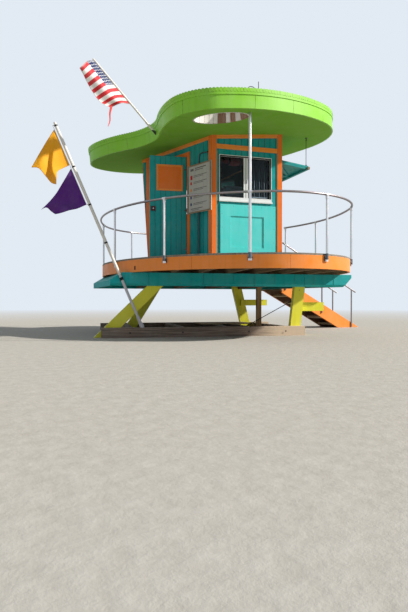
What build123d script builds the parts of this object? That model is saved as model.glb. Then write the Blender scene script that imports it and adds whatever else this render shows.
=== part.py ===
from build123d import *
import math
import os

# Timber lifeguard tower, in millimetres.
# The origin is on the ground under the middle of the oval deck.
# +X points out to the water and +Y to the left of it. The skids, the floor
# box and the legs are turned under the deck and the cabin.

# Ground frame
base_turn = -30
skid_width = 180
skid_height = 200
skid_start = -2620
skid_end = 1700
sleeper_width = 140
sleeper_places = [-2050, -980, 0, 430, 1250]
sheet_length = 1250
sheet_width = 900
sheet_thickness = 18
sheet_start = -320
sheet_front = -40

# Floor box on the legs
deck_height = 1600
board_thickness = 35
fascia_height = 245
box_height = 270
box_span = 2440
rim_thickness = 120
rim_chamfer = 45
box_left = -2440
far_box_left = -2780
left_rake = 240
left_nose = 120
box_right = 2820
far_box_setback = 580
right_rake = 180
right_nose = 70
end_thickness = 60
floor_joist_thickness = 70
floor_joist_places = [-1700, -780, 40, 870]

# Legs, as the middle of the plank at its head and at its foot
leg_width = 235
leg_thickness = 120
near_left_leg = (-1525, -2600)
far_left_leg = (-1300, -1950)
near_right_leg = (1650, 1530)
far_right_leg = (820, 1070)
stub_thickness = 45
near_stub = (1650, 2270, 520, 715)
far_stub = (900, 1600, 630, 780)
prop_post_size = 100
prop_post_place = (870, -600)
tie_rod_diameter = 16
tie_rod_head = 810
tie_rod_inset = 40

# Oval deck, drawn with four arcs
deck_length = 6520
deck_width = 4720
end_radius = 1750
fascia_thickness = 38
deck_joist_thickness = 45
deck_joist_step = 600

# Handrail round the deck
rail_height = 1070
rail_diameter = 42
post_diameter = 42
tall_post_diameter = 50
post_angles = [30, 69, 92, 119, 166, 204, 265, 291, 330, 356, 19]
tall_post_angle = 239
rail_gap_angles = (356, 19)
bracket_width = 70
bracket_height = 110
bracket_thickness = 12

# Cabin plan: rear corner, side corner and bow of the right half
cabin_rear = 1100
cabin_rear_half = 1086
cabin_side_x = 260
cabin_side_half = 1748
cabin_bow = 960
wall_thickness = 90
left_lean = 0.09
cabin_floor_thickness = 18
trim_thickness = 20
corner_trim_width = 90
eave_trim_height = 75
window_trim_sill = 2240
window_trim_height = 95

# Windows and lower panels of the two side walls
window_start = 145
window_width = 1155
window_sill = 1172
window_height = 955
window_depth = 60
window_border = 38
window_sill_rail = 95
window_post = 95
window_proud = 15
glass_thickness = 6
glass_setback = 15
panel_start = 166
panel_width = 1215
panel_height = 1120
panel_thickness = 26
panel_recess = 16
recess_start = 385
recess_width = 730
recess_sill = 240
recess_height = 640

# Hatches over the openings of the two front walls
hatch_open_start = 200
hatch_open_width = 1480
hatch_open_sill = 1390
hatch_open_height = 720
hatch_overlap = 35
hatch_frame_width = 80
hatch_length = 780
hatch_thickness = 30
hatch_droop = 6
hatch_batten = 25
hatch_batten_height = 45
edge_batten_size = 50
edge_batten_reach = 60
hatch_rod_diameter = 12
hatch_rod_inset = 40

# Door of the rear wall
door_hinge_y = -300
door_width = 800
door_height = 2230
leaf_thickness = 40
leaf_gap = 6
leaf_foot_gap = 20
door_rest_angle = 59
casing_width = 90
casing_reveal = 14
hinge_radius = 9
hinge_pin_radius = 4
pin_clearance = 0.1
hinge_length = 90
hinge_heights = [250, 1080, 1950]
strap_length = 60
strap_thickness = 6
leaf_panel_start = 88
leaf_panel_width = 562
leaf_panel_sill = 1488
leaf_panel_height = 553
leaf_panel_thickness = 12
lock_size = 95
lock_depth = 30
lock_height = 1100
lock_place = 720

# Sign board beside the door
sign_width = 730
sign_height = 1000
sign_sill = 965
sign_thickness = 12
sign_stand_off = 100
sign_edge_gap = -94
sign_post_size = 34
sign_post_place = 356

# Palette shaped roof, tilted up towards the water
wall_rise = 2618
roof_rise = 0.105
roof_depth = 330
roof_sheet = 18
roof_fascia_thickness = 30
edge_strip_height = 100
edge_strip_thickness = 12
roof_outline = [
    (2010, -700),
    (1700, 1050),
    (600, 2350),
    (-850, 2790),
    (-1990, 2260),
    (-2200, 1250),
    (-1900, -50),
    (-2378, -1116),
    (-2498, -2006),
    (-1600, -2690),
    (-300, -2865),
    (1000, -2530),
    (1800, -1650),
]
hole_place = (-1747, -2005)
hole_length = 970
hole_width = 610
hole_turn = -42
hole_lining = 30

# Flagpole on the roof edge, with heights over the roof's underside
roof_pole_y = -350
roof_pole_diameter = 32
roof_pole_foot = (-2080, -18)
roof_pole_head = (-3390, 947)
pole_socket_length = 160
pole_socket_wall = 8
cloth_thickness = 24
striped_flag = [(-2620, 380), (-3010, 162), (-3240, 202), (-3500, 522), (-3690, 662), (-3370, 932)]

# Leaning flagpole against the floor box
lean_pole_diameter = 56
upper_pole_diameter = 46
lean_pole_inset = 560
lean_pole_reach = 1700
lean_pole_height = 4215
pole_band_width = 60
pole_band_thickness = 8
flag_line_diameter = 8
flag_line_offset = 62
flag_line_ends = (2640, 4150)
line_ring_thickness = 14
yellow_hoist = (3400, 4080)
yellow_fly = [(-1640, 3240), (-1630, 2990), (-1820, 3100), (-2020, 3290), (-2115, 3285)]
purple_hoist = (2640, 3340)
purple_fly = [(-1280, 2550), (-1690, 2430), (-1830, 2530), (-1950, 2500), (-1690, 2800)]

# Ramp down to the beach
ramp_turn = -15
ramp_start = (30, -80)
ramp_width = 750
ramp_drop = 240
ramp_angle = 26.7
stringer_thickness = 45
stringer_depth = 340
tread_thickness = 40
tread_drop = 30
cleat_height = 25
cleat_width = 50
cleat_every = 3
plank_width = 135
plank_gap = 12
ledger_height = 300
ledger_thickness = 45
ramp_rail_height = 930
ramp_rail_diameter = 38
ramp_post_seat = 4
ramp_post_places = [120, 1350, 2420]

# Aerial on the roof
aerial_place = (-1350, -2560)
aerial_height = 240
aerial_diameter = 12
aerial_arch_radius = 150

# Values worked out from the sizes above
deck_top = deck_height
roof_under = deck_height + wall_rise
deck_under = deck_height - board_thickness
fascia_foot = deck_under - fascia_height
box_foot = fascia_foot - box_height
box_outer = box_span / 2
leg_face = box_outer - rim_thickness
leg_back = leg_face - leg_thickness
skid_edge = leg_face + skid_width
far_box_right = deck_width / 2 - far_box_setback
lean_pole_foot = lean_pole_inset - deck_width / 2
rail_level = deck_height + rail_height
base = Rot(0, 0, base_turn)
out_of_reach = 4 * deck_length


def slab(points, y_start, y_end, slide=0):
    """A plate with its outline in X and Z, from y_start to y_end, that slides along X as it goes."""
    corners = [(x, y_start, z) for x, z in points]
    face = make_face(Polyline(*corners, close=True))
    reach = Vector(slide, y_end - y_start, 0)
    return extrude(face, amount=reach.length, dir=reach.normalized())


def rod(start, end, diameter):
    """A round bar between two points."""
    start = Vector(*start)
    run = Vector(*end) - start
    return Plane(origin=start, z_dir=run) * Cylinder(
        diameter / 2, run.length, align=(Align.CENTER, Align.CENTER, Align.MIN)
    )


def box_from(x0, x1, y0, y1, z0, z1):
    """A box between two corners."""
    return Pos((x0 + x1) / 2, (y0 + y1) / 2, (z0 + z1) / 2) * Box(x1 - x0, y1 - y0, z1 - z0)


def save(name, shape):
    """Write one named piece."""
    if isinstance(shape, (list, tuple)):
        shape = Compound(children=[s for piece in shape for s in piece.solids()])
    export_step(shape, os.path.join("parts", name + ".step"))


# Oval of four tangent arcs
half_length = deck_length / 2
half_width = deck_width / 2
end_centre = half_length - end_radius
side_centre = (end_centre**2 - (half_width - end_radius) ** 2) / (2 * (half_width - end_radius))
side_radius = half_width + side_centre
centre_gap = math.hypot(side_centre, end_centre)
join_direction = (side_centre / centre_gap, end_centre / centre_gap)


def oval_join(offset):
    """The point where a side arc meets an end arc, in the first quarter."""
    reach = end_radius + offset
    return join_direction[0] * reach, end_centre + join_direction[1] * reach


def oval_arcs(offset, level):
    """The side arc of +X, the end arc of +Y, the side arc of -X and the end arc of -Y."""
    jx, jy = oval_join(offset)
    hw = half_width + offset
    hl = half_length + offset
    return [
        ThreePointArc((jx, -jy, level), (hw, 0, level), (jx, jy, level)),
        ThreePointArc((jx, jy, level), (0, hl, level), (-jx, jy, level)),
        ThreePointArc((-jx, jy, level), (-hw, 0, level), (-jx, -jy, level)),
        ThreePointArc((-jx, -jy, level), (0, -hl, level), (jx, -jy, level)),
    ]


def arc_turn(arc):
    """The angle that an arc turns through about +Z, in degrees."""
    return math.degrees(arc.length / arc.radius)


def oval_plate(offset, level, height):
    """A flat oval slab."""
    face = make_face(Curve() + oval_arcs(offset, level))
    return extrude(face, amount=height, dir=(0, 0, 1))


def oval_point(angle, offset):
    """The point of the oval in one direction from its middle, and its outward normal."""
    dx = math.cos(math.radians(angle))
    dy = math.sin(math.radians(angle))
    join_x, join_y = oval_join(offset)
    on_end = abs(dy) * join_x > abs(dx) * join_y
    cx = 0 if on_end else -math.copysign(side_centre, dx)
    cy = math.copysign(end_centre, dy) if on_end else 0
    radius = (end_radius if on_end else side_radius) + offset
    along = dx * cx + dy * cy
    reach = along + math.sqrt(along**2 - cx**2 - cy**2 + radius**2)
    x = dx * reach
    y = dy * reach
    return x, y, (x - cx) / radius, (y - cy) / radius


# Roof plane and cabin walls
roof_tilt = math.degrees(math.atan(roof_rise))
roof_place = Pos(0, 0, roof_under) * Rot(0, -roof_tilt, 0)
roof_plane = Plane(origin=(0, 0, roof_under), z_dir=(-roof_rise, 0, 1))


def under_roof(shape, drop=0):
    """What lies under the roof, or under a plane that is lower by drop."""
    plane = roof_plane.offset(-drop)
    return split(shape, bisect_by=plane, keep=Keep.BOTTOM)


def over_roof(shape, drop):
    """What lies over a plane that is lower than the roof by drop."""
    return split(shape, bisect_by=roof_plane.offset(-drop), keep=Keep.TOP)


cabin_corners = [
    (-cabin_rear, -cabin_rear_half),
    (cabin_side_x, -cabin_side_half),
    (cabin_bow, 0),
    (cabin_side_x, cabin_side_half),
    (-cabin_rear, cabin_rear_half),
]
RIGHT_SIDE, RIGHT_FRONT, LEFT_FRONT, LEFT_SIDE, REAR = range(5)
wall_leans = {LEFT_SIDE: left_lean}


def wall_line(wall):
    """The start, the direction and the length of a wall's outer face on the deck."""
    ax, ay = cabin_corners[wall]
    bx, by = cabin_corners[(wall + 1) % 5]
    length = math.hypot(bx - ax, by - ay)
    return ax, ay, (bx - ax) / length, (by - ay) / length, length


def wall_length(wall):
    return wall_line(wall)[4]


def corner(index, rise, outward):
    """Where two wall faces meet, at a height over the deck, moved outward."""
    lines = []
    for wall in ((index - 1) % 5, index % 5):
        ax, ay, dx, dy, _ = wall_line(wall)
        shift = outward + wall_leans.get(wall, 0) * rise
        lines.append((ax + dy * shift, ay - dx * shift, dx, dy))
    (ax, ay, adx, ady), (bx, by, bdx, bdy) = lines
    cross = adx * bdy - ady * bdx
    along = ((bx - ax) * bdy - (by - ay) * bdx) / cross
    return ax + adx * along, ay + ady * along, deck_top + rise


def skin(wall, outward_from, outward_to):
    """A mitred layer of one wall between two outward offsets, up to the roof."""
    points = []
    for rise in (0, roof_under):
        points.append(
            [
                corner(wall, rise, outward_from),
                corner(wall + 1, rise, outward_from),
                corner(wall + 1, rise, outward_to),
                corner(wall, rise, outward_to),
            ]
        )
    foot, head = points
    faces = [Face(Wire.make_polygon(foot)), Face(Wire.make_polygon(head))]
    for i in range(4):
        j = (i + 1) % 4
        faces.append(Face(Wire.make_polygon([foot[i], foot[j], head[j], head[i]])))
    layer = Solid(Shell(faces))
    if layer.volume < 0:
        layer = Solid(layer.wrapped.Reversed())
    return under_roof(layer)


def wall_plane(wall):
    """Local X along the wall, local Y up it and local Z outward, from its start on the deck."""
    ax, ay, dx, dy, _ = wall_line(wall)
    lean = wall_leans.get(wall, 0)
    return Plane(origin=(ax, ay, deck_top), x_dir=(dx, dy, 0), z_dir=(dy, -dx, -lean))


def on_wall(wall, start, length, sill, height, out_from, out_to):
    """A box on a wall, by its place along it, its height over the deck and its depth."""
    return wall_plane(wall) * box_from(start, start + length, sill, sill + height, out_from, out_to)


# Skids, sleepers and the sheet that lies on them
def leg(ends, side):
    head, foot = ends
    slope = (head - foot) / box_foot
    half = leg_width * math.hypot(1, slope) / 2
    outer = side * (leg_face)
    inner = outer - side * leg_thickness
    top = head + slope * box_height
    points = [
        (top - half, fascia_foot),
        (top + half, fascia_foot),
        (foot + half, 0),
        (foot - half, 0),
    ]
    return slab(points, outer, inner)


near_legs = [near_left_leg, near_right_leg]
far_legs = [far_left_leg, far_right_leg]
legs = [leg(ends, -1) for ends in near_legs] + [leg(ends, 1) for ends in far_legs]


def make_skids():
    skids = []
    for side in (-1, 1):
        edge = side * skid_edge
        inner = edge - side * skid_width
        low, high = min(edge, inner), max(edge, inner)
        skids.append(base * box_from(skid_start, skid_end, low, high, 0, skid_height))
    save("skids", skids)
    reach = leg_face
    half = sleeper_width / 2
    sleepers = []
    for x in sleeper_places:
        beam = box_from(x - half, x + half, -reach, reach, 0, skid_height)
        for plank in legs:
            beam = beam - plank
        sleepers.append(base * beam)
    save("sleepers", sleepers)
    sheet = box_from(
        sheet_start,
        sheet_start + sheet_length,
        sheet_front,
        sheet_front + sheet_width,
        skid_height,
        skid_height + sheet_thickness,
    )
    save("plywood_sheet", base * sheet)


# Legs, their stubs, the prop post and the tie rod
def make_legs():
    save("near_legs", [base * plank for plank in legs[:2]])
    save("far_legs", [base * plank for plank in legs[2:]])
    stubs = []
    for (start, end, low, high), side in ((near_stub, -1), (far_stub, 1)):
        edge = side * leg_back
        back = edge - side * stub_thickness
        stubs.append(base * box_from(start, end, min(edge, back), max(edge, back), low, high))
    save("leg_stubs", stubs)
    px, py = prop_post_place
    half = prop_post_size / 2
    save("prop_post", base * box_from(px - half, px + half, py - half, py + half, 0, box_foot))
    head, foot = near_right_leg
    reach = leg_back + tie_rod_inset
    start = (foot + (head - foot) * tie_rod_head / box_foot, -reach, tie_rod_head)
    end = (sleeper_places[3], -reach, skid_height - tie_rod_diameter)
    rod_bar = rod(start, end, tie_rod_diameter) - leg(near_right_leg, -1)
    under = box_from(-out_of_reach, out_of_reach, -out_of_reach, out_of_reach, -out_of_reach, skid_height)
    save("tie_rod", base * (rod_bar - under))


# Floor box: two long rims, two raked ends and the joists between
def left_profile(left):
    return [(left, box_foot), (left, box_foot + left_nose), (left + left_rake, fascia_foot)]


def right_profile(right):
    return [(right, fascia_foot), (right, fascia_foot - right_nose), (right - right_rake, box_foot)]


def make_floor_box():
    outer = box_outer
    inner = leg_face
    near = left_profile(box_left) + right_profile(box_right)
    far = left_profile(far_box_left) + right_profile(far_box_right)
    rims = []
    for profile, side in ((near, -1), (far, 1)):
        rim = slab(profile, side * outer, side * inner)
        edge = Pos(0, side * outer, box_foot) * Rot(45, 0, 0)
        chamfer = edge * Box(out_of_reach, rim_chamfer * math.sqrt(2), rim_chamfer * math.sqrt(2))
        rims.append(base * (rim - chamfer))
    save("box_rims", rims)
    left_end = left_profile(box_left) + left_profile(box_left + end_thickness)[::-1]
    right_end = right_profile(box_right) + right_profile(box_right - end_thickness)[::-1]
    left = slab(left_end, -inner, inner, far_box_left - box_left)
    right = slab(right_end, -inner, inner, far_box_right - box_right)
    save("box_ends", [base * left, base * right])
    half = floor_joist_thickness / 2
    joists = []
    for x in floor_joist_places:
        bar = box_from(x - half, x + half, -inner, inner, box_foot, fascia_foot)
        for piece in legs + [left, right]:
            bar = bar - piece
        joists.append(base * bar)
    save("floor_joists", joists)


# Oval deck
def make_deck():
    core = oval_plate(-fascia_thickness, fascia_foot, fascia_height)
    count = int(half_length / deck_joist_step)
    joists = []
    half = deck_joist_thickness / 2
    for k in range(-count, count + 1):
        x = k * deck_joist_step
        bar = base * box_from(x - half, x + half, -half_length, half_length, fascia_foot, deck_under)
        joists.append(bar & core)
    save("deck_joists", joists)
    save("deck_boards", oval_plate(0, deck_under, board_thickness))
    save("deck_fascia", oval_plate(0, fascia_foot, fascia_height) - core)


# Handrail, its posts and brackets
post_offset = bracket_thickness + post_diameter / 2


def make_rail():
    posts = []
    for angle in post_angles + [tall_post_angle]:
        tall = angle == tall_post_angle
        x, y, nx, ny = oval_point(angle, post_offset)
        radius = (tall_post_diameter if tall else post_diameter) / 2
        head = roof_under if tall else rail_level - rail_diameter / 2
        height = head - deck_height + bracket_height
        shaft = Pos(x, y, deck_height - bracket_height) * Cylinder(
            radius, height, align=(Align.CENTER, Align.CENTER, Align.MIN)
        )
        turn = Rot(0, 0, math.degrees(math.atan2(ny, nx)))
        plate_level = deck_under - bracket_height / 2
        plate = Pos(x, y, plate_level) * turn * Pos(-post_offset / 2, 0, 0)
        plate = plate * Box(post_offset, bracket_width, bracket_height)
        hull = oval_plate(0, fascia_foot, fascia_height)
        if tall:
            rail_notch = Pos(x, y, rail_level) * turn * Box(post_offset * 4, tall_post_diameter, post_offset * 4)
            save("tall_post", under_roof(shaft) + (plate - hull))
        else:
            posts.append(shaft + (plate - hull))
    save("rail_posts", posts)

    low, high = [oval_point(angle, post_offset)[1] for angle in rail_gap_angles]
    gap = box_from(0, out_of_reach, low, high, deck_top, roof_under)
    tubes = []
    for arc in oval_arcs(post_offset, rail_level):
        section = Plane(origin=arc @ 0, z_dir=arc % 0) * Circle(rail_diameter / 2)
        middle = arc.arc_center
        axis = Axis((middle.X, middle.Y, 0), (0, 0, 1))
        tube = revolve(section, axis=axis, revolution_arc=arc_turn(arc)) - gap - rail_notch
        tubes += tube.solids()
    save("handrail", tubes)


# Cabin walls
def cabin_wall(wall):
    return skin(wall, 0, -wall_thickness)


def make_walls():
    through = wall_thickness + 100
    for name, wall in (("side_wall_right", RIGHT_SIDE), ("side_wall_left", LEFT_SIDE)):
        start = window_start if wall == RIGHT_SIDE else wall_length(wall) - window_start - window_width
        hole = on_wall(wall, start, window_width, window_sill, window_height, -through, 100)
        save(name, cabin_wall(wall) - hole)
    for name, wall in (("front_wall_right", RIGHT_FRONT), ("front_wall_left", LEFT_FRONT)):
        start = hatch_start(wall, hatch_open_start, hatch_open_width)
        hole = on_wall(wall, start, hatch_open_width, hatch_open_sill, hatch_open_height, -through, 100)
        save(name, cabin_wall(wall) - hole)
    rear = cabin_wall(REAR)
    door_end = cabin_rear_half - door_hinge_y
    door_start = door_end - door_width
    wide = out_of_reach
    save("rear_wall_left", rear & on_wall(REAR, -wide, wide + door_start, -100, wide, -through, 100))
    save("rear_wall_right", rear & on_wall(REAR, door_end, wide, -100, wide, -through, 100))
    save(
        "rear_wall_over_door",
        rear & on_wall(REAR, door_start, door_width, door_height, wide, -through, 100),
    )
    inner = [corner(i, 0, -wall_thickness) for i in range(5)]
    face = make_face(Polyline(*inner, close=True))
    save("cabin_floor", extrude(face, amount=cabin_floor_thickness, dir=(0, 0, 1)))


def hatch_start(wall, start, width):
    """Where something starts along a front wall, the same way round from both sides."""
    return wall_length(wall) - start - width if wall == LEFT_FRONT else start


# Painted trim boards of the cabin
def make_trims():
    layers = [skin(wall, 0, trim_thickness) for wall in range(5)]
    width = corner_trim_width
    tall = out_of_reach
    reach = 200
    corners = []
    for i in range(5):
        before = (i - 1) % 5
        end = layers[before] & on_wall(
            before, wall_length(before) - width, 2 * width, -10, tall, -reach, reach
        )
        start = layers[i] & on_wall(i, -width, 2 * width, -10, tall, -reach, reach)
        corners.append(end + start)
    save("corner_trims", corners)
    eaves = []
    for wall in range(5):
        length = wall_length(wall)
        band = over_roof(layers[wall], eave_trim_height)
        for post in corners:
            band = band - post
        eaves.append(band)
    heads = []
    for wall in (RIGHT_SIDE, LEFT_SIDE):
        band = on_wall(wall, 0, wall_length(wall), window_trim_sill, window_trim_height, -10, 30)
        band = layers[wall] & band
        for post in corners:
            band = band - post
        heads.append(band)
    frames = []
    for wall in (RIGHT_FRONT, LEFT_FRONT):
        start = hatch_start(wall, hatch_open_start, hatch_open_width)
        low = start - hatch_frame_width
        long = hatch_open_width + 2 * hatch_frame_width
        foot = hatch_open_sill - hatch_frame_width
        tall = hatch_open_height + hatch_frame_width
        frame = on_wall(wall, low, long, foot, tall, 0, trim_thickness)
        inside = on_wall(wall, start, hatch_open_width, hatch_open_sill, 2 * tall, -10, trim_thickness + 10)
        top = hatch_open_sill + hatch_open_height + hatch_overlap - hatch_batten_height
        above = on_wall(wall, low - 10, long + 20, top, tall, -10, trim_thickness + 10)
        frames.append(frame - inside - above)
    save("wall_trims", eaves + heads + [side for frame in frames for side in frame.solids()])
    door_end = cabin_rear_half - door_hinge_y
    door_start = door_end - door_width
    low = door_start - casing_reveal
    high = door_end + casing_reveal
    outer = on_wall(
        REAR, low - casing_width, high - low + 2 * casing_width, 0, door_height + casing_width, 0, trim_thickness
    )
    inner = on_wall(REAR, low, high - low, -10, door_height + casing_reveal, -10, trim_thickness + 10)
    save("door_casing", outer - inner)


# Side windows and the panels under them
def make_windows():
    frames = []
    panes = []
    panels = []
    for wall in (RIGHT_SIDE, LEFT_SIDE):
        mirrored = wall == LEFT_SIDE
        length = wall_length(wall)

        def place(start, width):
            return length - start - width if mirrored else start

        def block(start, width, sill, height, out_from, out_to):
            return on_wall(wall, place(start, width), width, sill, height, out_from, out_to)

        frame = block(
            window_start, window_width, window_sill, window_height, window_proud - window_depth, window_proud
        )
        light = (window_width - 2 * window_border - window_post) / 2
        for k in range(2):
            start = window_start + window_border + k * (light + window_post)
            glass_foot = window_sill + window_sill_rail
            glass_height = window_height - window_sill_rail - window_border
            hole = block(start, light, glass_foot, glass_height, -200, 100)
            frame = frame - hole
            panes.append(
                block(
                    start,
                    light,
                    glass_foot,
                    glass_height,
                    -glass_thickness - glass_setback,
                    -glass_setback,
                )
            )
        frames.append(frame)
        board = block(panel_start, panel_width, -20, panel_height + 20, 0, panel_thickness)
        board = board & box_from(-out_of_reach, out_of_reach, -out_of_reach, out_of_reach, deck_top, out_of_reach)
        recess = block(
            recess_start,
            recess_width,
            recess_sill,
            recess_height,
            panel_thickness - panel_recess,
            panel_thickness + panel_recess,
        )
        panels.append(board - recess)
    save("window_frames", frames)
    save("window_glass", panes)
    save("lower_panels", panels)


# Hatches, held up by rods from the roof
def make_hatches():
    hatches = []
    rods = []
    width = hatch_open_width + 2 * hatch_overlap
    for wall in (RIGHT_FRONT, LEFT_FRONT):
        start = hatch_start(wall, hatch_open_start - hatch_overlap, width)
        hinge = hatch_open_sill + hatch_open_height + hatch_overlap
        local = Plane(
            origin=wall_plane(wall).from_local_coords((start, hinge, 0)),
            x_dir=wall_plane(wall).x_dir,
            z_dir=(0, 0, 1),
        )
        # local X runs along the wall and local -Y runs outward
        leaf = local * Rot(hatch_droop, 0, 0) * box_from(0, width, -hatch_length, 0, 0, hatch_thickness)
        batten = local * box_from(0, width, -hatch_batten, 0, -hatch_batten_height, 5)
        edge = local * Rot(hatch_droop, 0, 0) * box_from(
            -edge_batten_reach,
            width + edge_batten_reach,
            -hatch_length,
            edge_batten_size - hatch_length,
            -edge_batten_size,
            0,
        )
        hatches.append(leaf + batten + edge)
        for along in (hatch_rod_inset, width - hatch_rod_inset):
            reach = hatch_length - hatch_rod_inset
            top_of_leaf = local * Rot(hatch_droop, 0, 0) * Pos(along, -reach, hatch_thickness)
            x, y, z = top_of_leaf.position
            shaft = rod((x, y, z - hatch_thickness / 2), (x, y, z + roof_under), hatch_rod_diameter)
            rods.append(under_roof(shaft) - leaf)
    save("hatches", hatches)
    save("hatch_rods", rods)


# Door, built closed and then turned open about its hinge line
hinge_line = (-cabin_rear - hinge_radius - 1, door_hinge_y)


def opened(shape):
    x, y = hinge_line
    return Pos(x, y, 0) * Rot(0, 0, door_rest_angle) * Pos(-x, -y, 0) * shape


def make_door():
    face = -cabin_rear
    low = deck_top + leaf_foot_gap
    high = deck_top + door_height - leaf_gap - 2
    near = door_hinge_y + leaf_gap
    far = door_hinge_y + door_width - leaf_gap
    leaf = box_from(face, face + leaf_thickness, near, far, low, high)
    save("door_leaf", opened(leaf))
    panel = box_from(
        face - leaf_panel_thickness,
        face,
        door_hinge_y + leaf_panel_start,
        door_hinge_y + leaf_panel_start + leaf_panel_width,
        deck_top + leaf_panel_sill,
        deck_top + leaf_panel_sill + leaf_panel_height,
    )
    save("door_panel", opened(panel))
    middle = door_hinge_y + lock_place
    lock = box_from(
        face - lock_depth,
        face,
        middle - lock_size / 2,
        middle + lock_size / 2,
        deck_top + lock_height - lock_size / 2,
        deck_top + lock_height + lock_size / 2,
    )
    save("door_lock", opened(lock))
    x, y = hinge_line
    moving = []
    fixed = []
    third = hinge_length / 3
    for height in hinge_heights:
        z = deck_top + height
        barrel = Pos(x, y, z) * Cylinder(hinge_radius, third - 1)
        bore = Pos(x, y, z) * Cylinder(hinge_pin_radius + pin_clearance, hinge_length)
        strap = box_from(face - strap_thickness, face, y, y + strap_length, z - third / 2 + 0.5, z + third / 2 - 0.5)
        moving.append(opened(barrel + strap - bore))
        post = Pos(x, y, z) * Cylinder(hinge_pin_radius, hinge_length)
        for side in (-1, 1):
            knuckle = Pos(x, y, z + side * third) * Cylinder(hinge_radius, third)
            plate = box_from(
                face - strap_thickness,
                face,
                y - casing_reveal,
                y,
                z + side * third - third / 2,
                z + side * third + third / 2,
            )
            post = post + knuckle + plate
        fixed.append(post)
    save("door_hinges", moving)
    save("door_hinge_pins", fixed)


# Sign board on its own post
def make_sign():
    face = -cabin_rear - sign_stand_off
    corner_y = -cabin_rear_half
    low = corner_y + sign_edge_gap
    board = box_from(
        face - sign_thickness, face, low, low + sign_width, deck_top + sign_sill, deck_top + sign_sill + sign_height
    )
    save("sign_board", board)
    y = corner_y + sign_post_place
    top = deck_top + sign_sill + sign_height - 40
    half = sign_post_size / 2
    save("sign_post", box_from(face, face + sign_post_size, y - half, y + half, deck_top, top))


# Roof
def tangent_arcs(start, start_run, end, end_run):
    """Two arcs that leave start along one direction and reach end along another."""
    gap = end - start
    both = start_run + end_run
    spread = 2 * (1 - start_run.dot(end_run))
    along = gap.dot(both)
    if spread < 1e-9:
        reach = gap.dot(gap) / (2 * along)
    else:
        reach = (math.sqrt(along**2 + spread * gap.dot(gap)) - along) / spread
    middle = (start + end + (start_run - end_run) * reach) / 2
    return [
        TangentArc(start, middle, tangent=start_run),
        TangentArc(end, middle, tangent=-end_run),
    ]


def roof_face(growth):
    """The roof's outline, grown outward, as a face of tangent arcs."""
    outline = Spline(*[(x, y, 0) for x, y in roof_outline], periodic=True)
    places = [outline.param_at_point((x, y, 0)) for x, y in roof_outline]
    runs = [outline % place for place in places]
    arcs = []
    count = len(roof_outline)
    for k in range(count):
        j = (k + 1) % count
        start = Vector(*roof_outline[k]) + runs[k].cross(Vector(0, 0, 1)) * growth
        end = Vector(*roof_outline[j]) + runs[j].cross(Vector(0, 0, 1)) * growth
        arcs += tangent_arcs(start, runs[k], end, runs[j])
    return make_face(Wire(arcs))


def roof_block():
    return roof_place * extrude(roof_face(0), amount=roof_depth, dir=(0, 0, 1))


def make_roof():
    whole = roof_face(0)
    core = roof_face(-roof_fascia_thickness)
    strip = roof_face(edge_strip_thickness)
    hx, hy = hole_place
    hole = Pos(hx, hy, 0) * Rot(0, 0, hole_turn)
    wide = hole_length / 2
    deep = hole_width / 2
    up = (0, 0, 1)
    lining = hole * extrude(Ellipse(wide + hole_lining, deep + hole_lining), amount=roof_depth, dir=up)
    opening = hole * extrude(Ellipse(wide, deep), amount=roof_depth, dir=up)
    save("roof_soffit", roof_place * (extrude(core, amount=roof_sheet, dir=up) - lining))
    top = Pos(0, 0, roof_depth - roof_sheet) * extrude(core, amount=roof_sheet, dir=up)
    save("roof_top", roof_place * (top - lining))
    band = extrude(whole, amount=roof_depth, dir=up) - extrude(core, amount=roof_depth, dir=up)
    save("roof_fascia", roof_place * band)
    level = roof_depth - edge_strip_height
    edge = extrude(strip, amount=edge_strip_height, dir=up) - extrude(whole, amount=edge_strip_height, dir=up)
    save("roof_edge_strip", roof_place * (Pos(0, 0, level) * edge))
    save("roof_hole_lining", roof_place * (lining - opening))


# Flagpole on the roof edge, and its flag
def make_roof_flag():
    fx, fz = roof_pole_foot
    hx, hz = roof_pole_head
    y = roof_pole_y
    at_roof = Pos(0, 0, roof_under)
    pole = at_roof * rod((fx, y, fz), (hx, y, hz), roof_pole_diameter)
    save("roof_flagpole", pole)
    run = Vector(hx - fx, 0, hz - fz).normalized()
    start = Vector(fx, y, fz) - run * 150
    end = Vector(fx, y, fz) + run * pole_socket_length
    socket = rod(start, end, roof_pole_diameter + 2 * pole_socket_wall)
    socket = at_roof * socket - pole
    save("flag_socket", (socket - roof_block()).solids().sort_by(Axis.X)[0])
    cloth = at_roof * slab(striped_flag, y - cloth_thickness / 2, y + cloth_thickness / 2)
    save("striped_flag", (cloth - pole).solids().sort_by(SortBy.VOLUME)[-1])


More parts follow.
